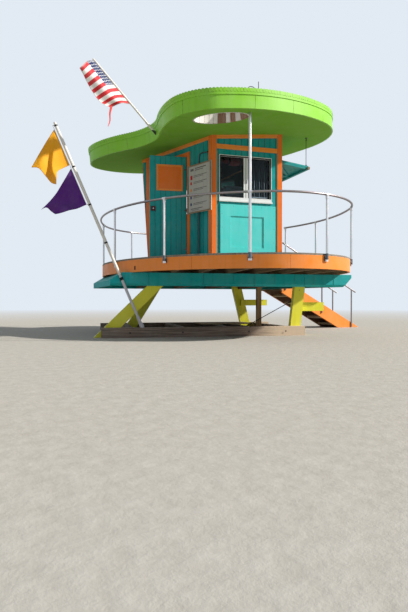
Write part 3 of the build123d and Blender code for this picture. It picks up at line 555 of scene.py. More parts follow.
def wall_place(wall):
    """Local x runs along a wall from its start on the deck, y up it and z outward."""
    start, end, lean = WALLS[wall]
    along = Vector((end[0] - start[0], end[1] - start[1], 0)).normalized()
    outward = Vector((along.y, -along.x, -lean)).normalized()
    turn = Matrix((along, outward.cross(along), outward)).transposed().to_4x4()
    return Matrix.Translation((*start, DECK_TOP)) @ turn


def along_wall(wall, start, width):
    """The start of a feature, the other way round on the left walls, which repeat the right ones."""
    return wall_length(wall) - start - width if wall.endswith("left") else start


def wall_point(wall, along, rise, out):
    return wall_place(wall) @ Vector((along_wall(wall, along, 0.0), rise, out))


class Shape:
    """Gathers closed solids into one piece. Each face keeps a tone that tints its board."""

    def __init__(self):
        self.points = []
        self.faces = []
        self.tones = []

    def add(self, points, faces, tone):
        first = len(self.points)
        self.points += [tuple(point) for point in points]
        self.faces += [[first + k for k in face] for face in faces]
        self.tones += [tone] * len(faces)

    def take(self, bm, tone):
        bm.verts.index_update()
        self.add([v.co for v in bm.verts], [[v.index for v in face.verts] for face in bm.faces], tone)

    def board(self, place, size, tone=None):
        """A box of that size round the middle of a place."""
        half = [v / 2 for v in size]
        corners = []
        for z in (-1, 1):
            for y in (-1, 1):
                for x in (-1, 1):
                    corners.append(place @ Vector((x * half[0], y * half[1], z * half[2])))
        faces = [(0, 2, 3, 1), (4, 5, 7, 6), (0, 1, 5, 4), (2, 6, 7, 3), (0, 4, 6, 2), (1, 3, 7, 5)]
        self.add(corners, faces, chance.random() if tone is None else tone)

    def on_wall(self, wall, start, width, rise, height, low, high, tone=None):
        """A board on a wall, by its place along it, its height over the deck and its depth."""
        middle = Vector((along_wall(wall, start, width) + width / 2, rise + height / 2, (low + high) / 2))
        self.board(wall_place(wall) @ Matrix.Translation(middle), (width, height, high - low), tone)

    def tube(self, route, radius, sides=12, tone=0.0):
        """A closed round bar along a route. The radius is one number or one for each point."""
        rings = []
        radii = radius if hasattr(radius, "__len__") else [radius] * len(route)
        route = [Vector(p) for p in route]
        side = None
        for k, point in enumerate(route):
            run = (route[min(k + 1, len(route) - 1)] - route[max(k - 1, 0)]).normalized()
            if side is None:
                side = run.orthogonal().normalized()
            side = (side - run * side.dot(run)).normalized()
            other = run.cross(side)
            for n in range(sides):
                turn = math.tau * n / sides
                rings.append(point + (side * math.cos(turn) + other * math.sin(turn)) * radii[k])
        faces = []
        for k in range(len(route) - 1):
            for n in range(sides):
                m = (n + 1) % sides
                faces.append((k * sides + n, k * sides + m, (k + 1) * sides + m, (k + 1) * sides + n))
        last = (len(route) - 1) * sides
        faces.append(tuple(range(sides))[::-1])
        faces.append(tuple(last + n for n in range(sides)))
        self.add(rings, faces, tone)

    def plate(self, bm, outward, low, high, tones):
        """Thickens flat faces from low to high along outward. tones gives each face its tone."""
        bm.verts.index_update()
        back = [v.co + outward * low for v in bm.verts]
        front = [v.co + outward * high for v in bm.verts]
        count = len(back)
        groups = {}
        for face in bm.faces:
            loop = [v.index for v in face.verts]
            faces = groups.setdefault(tones(face), [])
            faces.append([count + k for k in loop])
            faces.append(loop[::-1])
            for edge in face.loops:
                if edge.edge.is_boundary:
                    a, b = edge.vert.index, edge.link_loop_next.vert.index
                    faces.append([a, b, count + b, count + a])
        first = len(self.points)
        self.points += [tuple(p) for p in back + front]
        for tone, faces in groups.items():
            self.faces += [[first + k for k in face] for face in faces]
            self.tones += [tone] * len(faces)

    def piece(self, name, finish, body="tower", bevel=0.0, stands_for=(), smooth=False, slot=None):
        mesh = bpy.data.meshes.new(name)
        mesh.from_pydata(self.points, [], self.faces)
        tone = mesh.attributes.new("tone", "FLOAT", "FACE")
        tone.data.foreach_set("value", self.tones)
        mesh.materials.append(finish)
        mesh.update()
        bm = bmesh.new()
        bm.from_mesh(mesh)
        bmesh.ops.recalc_face_normals(bm, faces=bm.faces)
        bm.to_mesh(mesh)
        bm.free()
        if smooth:
            for face in mesh.polygons:
                face.use_smooth = True
            mesh.set_sharp_from_angle(angle=math.radians(35))
        piece = bpy.data.objects.new(name, mesh)
        bpy.context.scene.collection.objects.link(piece)
        if bevel:
            soft = piece.modifiers.new("soft edges", "BEVEL")
            soft.width = bevel
            soft.segments = 2
            soft.limit_method = "ANGLE"
            soft.angle_limit = math.radians(40)
        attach(piece, body)
        if stands_for:
            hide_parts(*stands_for)
        return piece


def solid_of(node):
    """A joined copy of a CAD node's mesh, with its flat faces whole again."""
    bm = bmesh.new()
    bm.from_mesh(nodes[node].data)
    bmesh.ops.remove_doubles(bm, verts=bm.verts, dist=1e-5)
    bmesh.ops.dissolve_limit(bm, angle_limit=math.radians(0.1), verts=bm.verts, edges=bm.edges)
    return bm


def cut_away(bm, point, normal):
    """Keeps what lies behind a plane, and closes the cut."""
    found = bmesh.ops.bisect_plane(
        bm,
        geom=bm.verts[:] + bm.edges[:] + bm.faces[:],
        plane_co=point,
        plane_no=normal,
        clear_outer=True,
        dist=1e-6,
    )
    edges = [e for e in found["geom_cut"] if isinstance(e, bmesh.types.BMEdge)]
    if edges:
        bmesh.ops.triangle_fill(bm, edges=edges, use_beauty=True, use_dissolve=True)


def cut_boards(shape, node, across, pitch, gap):
    """Cuts a CAD node into even boards along a direction, and gives back the places of the cuts."""
    whole = solid_of(node)
    spots = [v.co.dot(across) for v in whole.verts]
    low, high = min(spots) - 0.01, max(spots) + 0.01
    count = max(1, round((high - low) / pitch))
    stations = [low + (high - low) * k / count for k in range(count + 1)]
    for start, end in zip(stations, stations[1:]):
        bm = whole.copy()
        cut_away(bm, across * (end - gap / 2), across)
        cut_away(bm, across * (start + gap / 2), -across)
        shape.take(bm, chance.random())
        bm.free()
    whole.free()
    return stations


def sectors(shape, whole, centre, angles, gap):
    """Cuts a solid into lengths between angles about a vertical line."""
    for low, high in zip(angles, angles[1:]):
        bm = whole.copy()
        for angle, side in ((high, 1), (low, -1)):
            turn = math.radians(angle)
            normal = Vector((-math.sin(turn), math.cos(turn), 0)) * side
            cut_away(bm, centre - normal * gap / 2, normal)
        shape.take(bm, chance.random())
        bm.free()


def outer_face(bm, middle):
    """The direction of the largest upright side that faces away from a point."""
    areas = {}
    for face in bm.faces:
        centre = face.calc_center_median() - middle
        if abs(face.normal.z) < 0.3 and face.normal.dot(centre) > 0:
            key = tuple(round(v, 2) for v in face.normal)
            total = areas.setdefault(key, [0.0, Vector()])
            total[0] += face.calc_area()
            total[1] += face.normal * face.calc_area()
    return max(areas.values(), key=lambda pair: pair[0])[1].normalized()


def clad(shape, node, outward, across, pitch, gap, proud):
    """Boards over one flat side of a CAD node, standing a little proud of it."""
    bm = solid_of(node)
    flat = [f for f in bm.faces if f.normal.dot(outward) > 0.9995]
    front = max(f.calc_center_median().dot(outward) for f in flat)
    flat = {f for f in flat if f.calc_center_median().dot(outward) > front - 0.002}
    bmesh.ops.delete(bm, geom=[f for f in bm.faces if f not in flat], context="FACES")
    spots = [v.co.dot(across) for v in bm.verts]
    low, high = min(spots), max(spots)
    count = max(1, round((high - low) / pitch))
    pitch = (high - low) / count
    for k in range(1, count):
        for side in (-1, 1):
            geom = bm.verts[:] + bm.edges[:] + bm.faces[:]
            point = across * (low + k * pitch + side * gap / 2)
            bmesh.ops.bisect_plane(bm, geom=geom, plane_co=point, plane_no=across, dist=1e-6)
    gone = []
    for face in bm.faces:
        spot = (face.calc_center_median().dot(across) - low) / pitch
        if abs(spot - round(spot)) * pitch < gap / 2 and 0.5 < spot < count - 0.5:
            gone.append(face)
    bmesh.ops.delete(bm, geom=gone, context="FACES")
    tints = [chance.random() for _ in range(count + 1)]

    def tone(face):
        return tints[int((face.calc_center_median().dot(across) - low) / pitch)]

    shape.plate(bm, outward, -0.001, proud, tone)
    bm.free()


# Repeated fittings with geometry nodes
def fitting_tree(name, discs):
    """Stacked discs at each point of a mesh, facing along its "facing" and turned by chance.

    Each disc is (label, radius, height, sides), and each becomes three inputs.
    """
    tree = bpy.data.node_groups.new(name, "GeometryNodeTree")
    sockets = tree.interface
    sockets.new_socket("Geometry", in_out="INPUT", socket_type="NodeSocketGeometry")

    def number(label, kind, value):
        socket = sockets.new_socket(label, in_out="INPUT", socket_type="NodeSocket" + kind)
        socket.default_value = value

    for label, radius, height, sides in discs:
        number(label + " Radius", "Float", radius)
        number(label + " Height", "Float", height)
        number(label + " Sides", "Int", sides)
    number("Seed", "Int", 3)
    sockets.new_socket("Finish", in_out="INPUT", socket_type="NodeSocketMaterial")
    sockets.new_socket("Geometry", in_out="OUTPUT", socket_type="NodeSocketGeometry")
    g = Graph(tree)
    source = g.add("NodeGroupInput").outputs
    join = g.add("GeometryNodeJoinGeometry")
    level = 0.0
    for label, _, _, _ in discs:
        radius, height, sides = [source[label + size] for size in (" Radius", " Height", " Sides")]
        sizes = {"Vertices": sides, "Radius": radius, "Depth": height}
        disc = g.add("GeometryNodeMeshCylinder", sizes).outputs["Mesh"]
        middle = g.math("ADD", level, g.math("MULTIPLY", height, 0.5))
        up = g.join(0, 0, middle)
        lifted = g.add("GeometryNodeTransform", {"Geometry": disc, "Translation": up}).outputs[0]
        g.tree.links.new(lifted, join.inputs[0])
        level = g.math("ADD", level, height)
    facing = g.add("GeometryNodeInputNamedAttribute", {"Name": "facing"}, data_type="FLOAT_VECTOR")
    aim = g.add("FunctionNodeAlignRotationToVector", {"Vector": facing.outputs[0]}, axis="Z").outputs[0]
    spin = g.add("FunctionNodeRandomValue", {"Seed": source["Seed"]}, data_type="FLOAT")
    spin.inputs[3].default_value = math.tau
    turn = g.join(0, 0, spin.outputs[1])
    turned = g.add("FunctionNodeRotateRotation", {0: aim, 1: turn}, rotation_space="LOCAL").outputs[0]
    copies = {"Points": source["Geometry"], "Instance": join.outputs[0], "Rotation": turned}
    heads = g.add("GeometryNodeInstanceOnPoints", copies).outputs[0]
    real = g.add("GeometryNodeRealizeInstances", {0: heads}).outputs[0]
    done = g.add("GeometryNodeSetMaterial", {"Geometry": real, "Material": source["Finish"]}).outputs[0]
    g.wire(g.add("NodeGroupOutput").inputs[0], done)
    return tree


BOLTS = fitting_tree("bolt heads", [("Washer", 0.02, 0.003, 12), ("Head", 0.012, 0.008, 6)])
SCREWS = fitting_tree("screw heads", [("Head", 0.005, 0.0015, 8)])
LAPS = fitting_tree("rounded laps", [("Lap", 0.04, 0.006, 16)])


def grown(name, mesh, tree, sizes, body):
    """Runs a geometry tree on a mesh and keeps the result as a plain piece."""
    source = bpy.data.objects.new(name, mesh)
    bpy.context.scene.collection.objects.link(source)
    maker = source.modifiers.new("maker", "NODES")
    maker.node_group = tree
    for item in tree.interface.items_tree:
        if item.in_out == "INPUT" and item.name in sizes:
            maker[item.identifier] = sizes[item.name]
    bpy.context.view_layer.update()
    graph = bpy.context.evaluated_depsgraph_get()
    result = bpy.data.meshes.new_from_object(source.evaluated_get(graph))
    source.modifiers.remove(maker)
    source.data = result
    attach(source, body)
    return source


def fittings(name, tree, spots, sizes, finish, body="tower"):
    """A repeated fitting at (point, direction) pairs."""
    mesh = bpy.data.meshes.new(name)
    mesh.from_pydata([tuple(point) for point, _ in spots], [], [])
    facing = mesh.attributes.new("facing", "FLOAT_VECTOR", "POINT")
    for k, (_, direction) in enumerate(spots):
        facing.data[k].vector = Vector(direction).normalized()
    piece = grown(name, mesh, tree, {**sizes, "Finish": finish}, body)
    return piece


def bolts(name, spots, finish, head=0.012):
    sizes = {
        "Head Radius": head,
        "Head Height": head * 0.7,
        "Washer Radius": head * 1.7,
        "Washer Height": head * 0.25,
    }
    return fittings(name, BOLTS, spots, sizes, finish)


def screws(name, spots, finish, radius=0.005, body="tower"):
    return fittings(name, SCREWS, spots, {"Head Radius": radius}, finish, body)


def rim_of(node, up):
    """The outer edge of a node's highest flat face along up, as points in order."""
    bm = solid_of(node)
    level = max(v.co.dot(up) for v in bm.verts)
    top = {f for f in bm.faces if f.normal.dot(up) > 0.99 and f.calc_center_median().dot(up) > level - 0.004}
    edges = [e for e in bm.edges if len([f for f in e.link_faces if f in top]) == 1]
    nexts = {}
    for edge in edges:
        a, b = edge.verts
        nexts.setdefault(a.index, []).append(b.index)
        nexts.setdefault(b.index, []).append(a.index)
    spots = {v.index: v.co.copy() for v in bm.verts}
    bm.free()
    loops = []
    left = set(nexts)
    while left:
        loop = [left.pop()]
        while True:
            onward = [k for k in nexts[loop[-1]] if k in left]
            if not onward:
                break
            loop.append(onward[0])
            left.discard(onward[0])
        loops.append([spots[k] for k in loop])

    def reach(loop):
        return sum((b - a).length for a, b in zip(loop, loop[1:]))

    return max(loops, key=reach)


def even_points(loop, step):
    """Evenly spaced points round a closed line, with the direction of the line at each."""
    loop = loop + [loop[0]]
    total = sum((b - a).length for a, b in zip(loop, loop[1:]))
    count = round(total / step)
    spots = []
    passed, want = 0.0, 0.0
    for a, b in zip(loop, loop[1:]):
        run = (b - a).length
        while want < passed + run - 1e-9 and len(spots) < count:
            spots.append((a.lerp(b, (want - passed) / run), (b - a).normalized()))
            want += total / count
        passed += run
    return spots


def islands(node):
    """The separate solids of a node, each as a list of points."""
    bm = solid_of(node)
    bm.verts.ensure_lookup_table()
    left = set(range(len(bm.verts)))
    found = []
    while left:
        stack = [left.pop()]
        group = []
        while stack:
            vert = bm.verts[stack.pop()]
            group.append(vert.co.copy())
            for edge in vert.link_edges:
                other = edge.other_vert(vert).index
                if other in left:
                    left.discard(other)
                    stack.append(other)
        found.append(group)
    bm.free()
    return found


# Base, deck and ramp
def dress_base(finish):
    """Panels and seam strips round the floor box, and bolts in it, in the skids and in the legs."""
    teal = finish["teal base"]
    for node, across in (("box_rims", BASE_X), ("box_ends", BASE_Y)):
        panels = Shape()
        cut_boards(panels, node, across, pitch=1.22, gap=0.004)
        panels.piece(node + "_panels", teal, bevel=0.003, stands_for=[node], slot="teal_paint")
    strips = Shape()
    box_face, skid_face, pitch = 1.2195, 1.2995, 0.455
    for side, low, high in ((-1, -2.15, 2.5), (1, -2.4, 1.5)):
        for k in range(int((high - low) / pitch) + 1):
            middle = base_point(low + pitch * k, side * (box_face + 0.0025), 1.205)
            strips.board(placed(middle, BASE_X), (0.03, 0.006, 0.215), 0.8)
    strips.piece("box_seam_strips", teal, bevel=0.002, slot="teal_paint")
    spots = []
    for side, places in ((-1, (-2.0, -1.0, 0.0, 1.0, 1.9)), (1, (-2.2, -1.2, -0.2, 0.8))):
        for place in places:
            for height in (1.11, 1.27):
                spots.append((base_point(place, side * box_face, height), BASE_Y * side))
    bolts("box_bolts", spots, teal, head=0.007)
    spots = []
    for place in (-2.05, -0.98, 0.43, 1.25):
        for side in (-1, 1):
            spots.append((base_point(place, side * skid_face, 0.1), BASE_Y * side))
    bolts("skid_bolts", spots, finish["dark steel"], head=0.009)
    height, leg_height = 0.98, 1.05
    spots = []
    for head, foot in ((1.65, 1.53), (-1.525, -2.6)):
        along = foot + (head - foot) * height / leg_height
        spots.append((base_point(along, -1.1, height), -BASE_Y))
    bolts("leg_bolts", spots, finish["leg"], head=0.009)


def lay_deck(finish):
    """Deck boards, and the fascia in lengths."""
    planks, edge = Shape(), Shape()
    cut_boards(planks, "deck_boards", BASE_Y, pitch=0.14, gap=0.005)
    planks.piece(
        "deck_planks", finish["deck"], bevel=0.002, stands_for=["deck_boards"], slot="deck_timber"
    )
    whole = solid_of("deck_fascia")
    joints = [-62, -18, 22, 61, 100, 141, 180, 217, 252, 298]
    sectors(edge, whole, Vector((0, 0, 0)), joints, gap=0.003)
    whole.free()
    orange = finish["orange level"]
    edge.piece("deck_edge_boards", orange, bevel=0.003, stands_for=["deck_fascia"], slot="orange_paint")


def slat_ramp(finish):
    """Cross slats between the ramp's sides, and a dark board inside the far side."""
    turn, fall = math.radians(-15), math.radians(26.7)
    clear_width, side_depth, slat_depth = 0.66, 0.34, 0.06
    along = Vector((math.cos(turn), math.sin(turn), 0))
    side = UP.cross(along)
    down = along * math.cos(fall) - UP * math.sin(fall)
    above = along * math.sin(fall) + UP * math.cos(fall)
    head = Vector((2.33, -0.08, 1.36)) + side * 0.375
    slats = Shape()
    for k in range(5):
        middle = head - above * (side_depth - slat_depth / 2) + down * (0.42 + 0.44 * k)
        if middle.z > 0.08:
            slats.board(placed(middle, down, above), (0.035, clear_width, slat_depth))
    slats.piece("ramp_slats", finish["slat"], bevel=0.004, slot="raw_timber")
    board = bmesh.new()
    corner = head + side * clear_width / 2
    outline = ((-0.03, -0.338), (2.35, -0.338), (2.885, -0.07), (-0.165, -0.07))
    board.faces.new([board.verts.new(corner + down * run + above * rise) for run, rise in outline])
    lining = Shape()
    lining.plate(board, -side, 0.0, 0.003, lambda face: 0.6)
    board.free()
    lining.piece("ramp_side_lining", finish["plank"], slot="raw_timber")


POST_OVAL = (2.393, 3.293)
FASCIA_OVAL = (2.36, 3.26)


def out_of(oval, x, y):
    """The direction that faces out of an oval, given by its half widths, at a point on it."""
    return Vector((x / oval[0] ** 2, y / oval[1] ** 2, 0)).normalized()


def fit_rail(finish):
    """Sleeves and clamps where the posts meet the deck's edge and the handrail, and bolts in them."""
    shoes, sleeves = Shape(), Shape()
    clamp_height = 1.51
    spots = []
    for group in islands("rail_posts") + islands("tall_post"):
        top = max(p.z for p in group)
        carries_rail = top < 3
        head = [p for p in group if p.z > top - 0.3]
        x = sum(p.x for p in head) / len(head)
        y = sum(p.y for p in head) / len(head)
        out = out_of(POST_OVAL, x, y)
        along = UP.cross(out)
        foot = Vector((x, y, 0))
        clamp = foot + UP * clamp_height
        radius = 0.0275 if carries_rail else 0.031
        shoes.tube([foot + UP * (clamp_height - 0.018), foot + UP * DECK_TOP], radius, 20)
        shoes.board(placed(clamp - out * 0.018, along), (0.085, 0.03, 0.085), 0.4)
        for shift in (-0.03, 0.03):
            spots.append((clamp + along * shift - out * 0.0025, out))
        if carries_rail:
            sleeves.tube([foot + UP * (RAIL_TOP - 0.075), foot + UP * (RAIL_TOP - 0.01)], 0.0262, 20)
        rail = foot + UP * RAIL_TOP
        sleeves.tube([rail - along * 0.04, rail + along * 0.04], 0.0266, 20)
    shoes.piece("post_shoes", finish["dull steel"], bevel=0.002, smooth=True, slot="galvanised_steel")
    sleeves.piece("rail_sleeves", finish["galvanised"], smooth=True, slot="galvanised_steel")
    bolts("post_shoe_bolts", spots, finish["dark steel"], head=0.008)
    turn = math.radians(183)
    x, y = FASCIA_OVAL[0] * math.cos(turn), FASCIA_OVAL[1] * math.sin(turn)
    out = out_of(FASCIA_OVAL, x, y)
    drain = Shape()
    drain.board(placed(Vector((x, y, 1.40)) + out * 0.002, UP.cross(out)), (0.035, 0.01, 0.075), 0.8)
    drain.piece("fascia_slot", finish["black plastic"], bevel=0.002, slot="dark_steel")


# Cabin
CABIN_WALLS = [
    "side_wall_right",
    "side_wall_left",
    "front_wall_right",
    "front_wall_left",
    "rear_wall_right",
    "rear_wall_left",
    "rear_wall_over_door",
]


def clad_cabin(finish):
    """Upright boards on every wall."""
    boards = Shape()
    middle = Vector((-0.1, 0, 2.7))
    for node in CABIN_WALLS:
        whole = solid_of(node)
        outward = outer_face(whole, middle)
        whole.free()
        across = UP.cross(outward).normalized()
        clad(boards, node, outward, across, pitch=0.125, gap=0.009, proud=0.007)
    boards.piece("wall_boards", finish["teal"], bevel=0.0015, slot="teal_wall_paint")


WINDOW_START, WINDOW_WIDTH, WINDOW_SILL, WINDOW_HEIGHT = 0.145, 1.155, 1.172, 0.955
WINDOW_BORDER, WINDOW_SILL_RAIL, WINDOW_POST = 0.038, 0.095, 0.095


def fit_windows(finish):
    """Sill nosings, sash edges and catches on the side windows, and screws round the panels under them."""
    sills, sashes, seals, catches = Shape(), Shape(), Shape(), Shape()
    spots = []
    light = (WINDOW_WIDTH - 2 * WINDOW_BORDER - WINDOW_POST) / 2
    foot = WINDOW_SILL + WINDOW_SILL_RAIL
    tall = WINDOW_HEIGHT - WINDOW_SILL_RAIL - WINDOW_BORDER
    for wall in ("side right", "side left"):
        start, wide, rise = WINDOW_START - 0.01, WINDOW_WIDTH + 0.02, WINDOW_SILL - 0.004
        sills.on_wall(wall, start, wide, rise, 0.034, 0.010, 0.042, 0.0)
        for k in range(2):
            start = WINDOW_START + WINDOW_BORDER + k * (light + WINDOW_POST)
            for low, width, rise, height in (
                (start, 0.014, foot, tall),
                (start + light - 0.014, 0.014, foot, tall),
                (start + 0.014, light - 0.028, foot, 0.016),
                (start + 0.014, light - 0.028, foot + tall - 0.014, 0.014),
            ):
                sashes.on_wall(wall, low, width, rise, height, -0.014, -0.004, 0.3)
                seals.on_wall(wall, low + 0.002, width, rise + 0.002, height, -0.0148, -0.0138, 0.5)
        for low, width, rise, height in (
            (WINDOW_START + 0.013, 0.026, foot, tall),
            (WINDOW_START + WINDOW_WIDTH - 0.039, 0.026, foot, tall),
            (WINDOW_START + 0.013, WINDOW_WIDTH - 0.026, foot + tall, 0.024),
        ):
            seals.on_wall(wall, low, width, rise, height, 0.0143, 0.0158, 0.5)
        middle = WINDOW_START + WINDOW_WIDTH / 2
        seals.on_wall(wall, middle - 0.006, 0.012, foot + 0.002, tall - 0.004, 0.0145, 0.0158, 0.5)
        catches.on_wall(wall, middle + 0.012, 0.02, foot + 0.3, 0.07, 0.0145, 0.028, 0.2)
        catches.on_wall(wall, middle + 0.015, 0.014, foot + 0.32, 0.03, 0.028, 0.038, 0.2)
        out = (wall_place(wall).to_3x3() @ UP).normalized()
        for rise in (0.08, 0.36, 0.64, 0.92, 1.08):
            for start in (0.2, 1.345):
                spots.append((wall_point(wall, start, rise, 0.0255), out))
        for start in (0.45, 0.76, 1.07):
            for rise in (0.06, 1.08):
                spots.append((wall_point(wall, start, rise, 0.0255), out))
    sills.piece("window_sills", finish["white frame"], bevel=0.004, slot="white_paint")
    sashes.piece("sash_edges", finish["black plastic"], bevel=0.0015, slot="dark_steel")
    seals.piece("window_seals", finish["black plastic"], slot="dark_steel")
    catches.piece("window_catches", finish["bright steel"], bevel=0.002, slot="brushed_steel")
    screws("panel_screws", spots, finish["dull steel"], radius=0.006)


def furnish(finish):
    """A desk, a shelf, a cool box, a rescue float and blinds inside the cabin."""
    wood, box, float_red, slings, blinds = Shape(), Shape(), Shape(), Shape(), Shape()
    wood.on_wall("side right", 0.22, 1.16, 1.27, 0.03, -0.80, -0.092)
    for start in (0.3, 0.78, 1.26):
        wood.on_wall("side right", start, 0.04, 1.0, 0.27, -0.72, -0.092)
    wood.on_wall("side right", 0.30, 0.035, 1.3, 0.45, -0.76, -0.725)
    low = wall_point("side right", 0.30, 1.72, -0.743)
    far_x = 0.47
    wood.tube([low, Vector((far_x, low.y - 0.02, low.z + 0.507 * (far_x - low.x)))], 0.017, 10)
    wood.on_wall("side left", 0.12, 1.1, 1.72, 0.025, -0.38, -0.092)
    for start in (0.2, 1.08):
        wood.on_wall("side left", start, 0.035, 1.5, 0.22, -0.34, -0.092)
    box.on_wall("side right", 0.42, 0.46, 1.3, 0.25, -0.70, -0.40, 0.1)
    box.on_wall("side right", 0.41, 0.48, 1.55, 0.045, -0.71, -0.39, 0.4)
    centre = Vector((-0.34, -0.92, 3.74))
    along = Vector((0.96, 0.1, 0.12)).normalized()
    shares = [k / 12 for k in range(13)]
    route = [centre + along * (share - 0.5) * 0.66 for share in shares]
    float_red.tube(route, [0.03 + 0.06 * math.sin(math.pi * share) ** 0.6 for share in shares], 20, 0.2)
    for step in (-0.2, 0.2):
        grip = centre + along * step
        slings.tube([grip, Vector((grip.x, grip.y, soffit_height(grip.x) + 0.002))], 0.006, 8)
        slings.tube([grip - along * 0.012, grip + along * 0.012], 0.092, 20)
    slings.piece("float_slings", finish["black plastic"], slot="line_cord")
    for wall in ("side right", "side left"):
        blinds.on_wall(wall, 0.74, 0.56, 2.09, 0.04, -0.15, -0.092, 0.6)
        for k in range(10):
            back = 0.006 * (k % 2)
            blinds.on_wall(wall, 0.745 + 0.056 * k, 0.05, 1.33, 0.765, -0.124 - back, -0.121 - back)
    blinds.piece("window_blinds", finish["blind"], slot="teal_wall_paint")
    wood.piece("cabin_shelves", finish["raw"], bevel=0.002, slot="raw_timber")
    box.piece("cool_box", finish["box white"], bevel=0.008, slot="white_paint")
    float_red.piece("rescue_float", finish["float red"], smooth=True, slot="orange_paint")


HATCH_START, HATCH_WIDTH, HATCH_BOARDS = 0.165, 1.55, 12
HATCH_HINGE_HEIGHT = 1.39 + 0.72 + 0.035
HATCH_DROOP = math.radians(6)


def hatch_place(wall):
    """Local x runs along a propped hatch from its end, -y out along its droop, and z up."""
    start = along_wall(wall, HATCH_START, HATCH_WIDTH)
    hinge = wall_place(wall) @ Vector((start, HATCH_HINGE_HEIGHT, 0))
    along = (wall_place(wall).to_3x3() @ Vector((1, 0, 0))).normalized()
    turn = Matrix((along, UP.cross(along), UP)).transposed().to_4x4()
    return Matrix.Translation(hinge) @ turn @ Matrix.Rotation(HATCH_DROOP, 4, "X")


def fit_hatches(finish):
    """Boards and ledges on the hatches, end blocks, hinge straps, and the hooks of their rods."""
    boards, ledges, straps, blocks = Shape(), Shape(), Shape(), Shape()
    wide = HATCH_WIDTH / HATCH_BOARDS
    spots = []

    def put(shape, place, spot, size):
        shape.board(place @ Matrix.Translation(spot), size)

    for wall in ("front right", "front left"):
        place = hatch_place(wall)
        turn = place.to_3x3()
        for k in range(HATCH_BOARDS):
            put(boards, place, ((k + 0.5) * wide, -0.39, 0.033), (wide - 0.006, 0.785, 0.008))
            put(boards, place, ((k + 0.5) * wide, -0.38, -0.003), (wide - 0.006, 0.69, 0.008))
        for x in (0.025, 0.775, 1.525):
            put(ledges, place, (x, -0.38, -0.022), (0.05, 0.69, 0.032))
        brace = (turn @ Vector((0.70, -0.62, 0))).normalized()
        ledges.board(placed(place @ Vector((0.40, -0.38, -0.018)), brace, turn @ UP), (0.85, 0.045, 0.024))
        for x in (-0.045, 1.595):
            put(blocks, place, (x, -0.755, -0.025), (0.034, 0.056, 0.056))
        for x in (0.2, 0.775, 1.35):
            put(straps, place, (x, -0.11, 0.0395), (0.045, 0.2, 0.005))
            ends = [place @ Vector((x + step, 0.004, 0.034)) for step in (-0.04, 0.04)]
            straps.tube(ends, 0.011, 12)
            for y in (-0.06, -0.12, -0.18):
                spots.append((place @ Vector((x, y, 0.042)), turn @ UP))
        side = (turn @ Vector((1, 0, 0))).cross(UP).normalized()
        for x in (0.04, 1.51):
            eye = place @ Vector((x, -0.74, 0.045))
            angles = [math.tau * k / 12 for k in range(13)]
            ring = [eye + (side * math.cos(angle) + UP * math.sin(angle)) * 0.022 for angle in angles]
            straps.tube(ring, 0.0055, 8)
            head = Vector((eye.x, eye.y, soffit_height(eye.x) - 0.03))
            hook = ((0, 0.03), (0, 0), (0.018, -0.016), (0, -0.034), (-0.018, -0.018))
            straps.tube([head + side * across + UP * rise for across, rise in hook], 0.0055, 8)
            straps.tube([head + UP * 0.022, head + UP * 0.031], 0.028, 16)
    boards.piece("hatch_boards", finish["teal"], bevel=0.0015, slot="teal_wall_paint")
    ledges.piece("hatch_ledges", finish["teal"], bevel=0.002, slot="teal_wall_paint")
    blocks.piece("hatch_end_blocks", finish["sign frame"], bevel=0.003, slot="raw_timber")
    straps.piece("hatch_hardware", finish["dark steel"], smooth=True, slot="dark_steel")
    screws("hatch_screws", spots, finish["dark steel"], radius=0.007)


HINGE_X, HINGE_Y = -1.11, -0.30
DOOR_OPEN = math.radians(59)


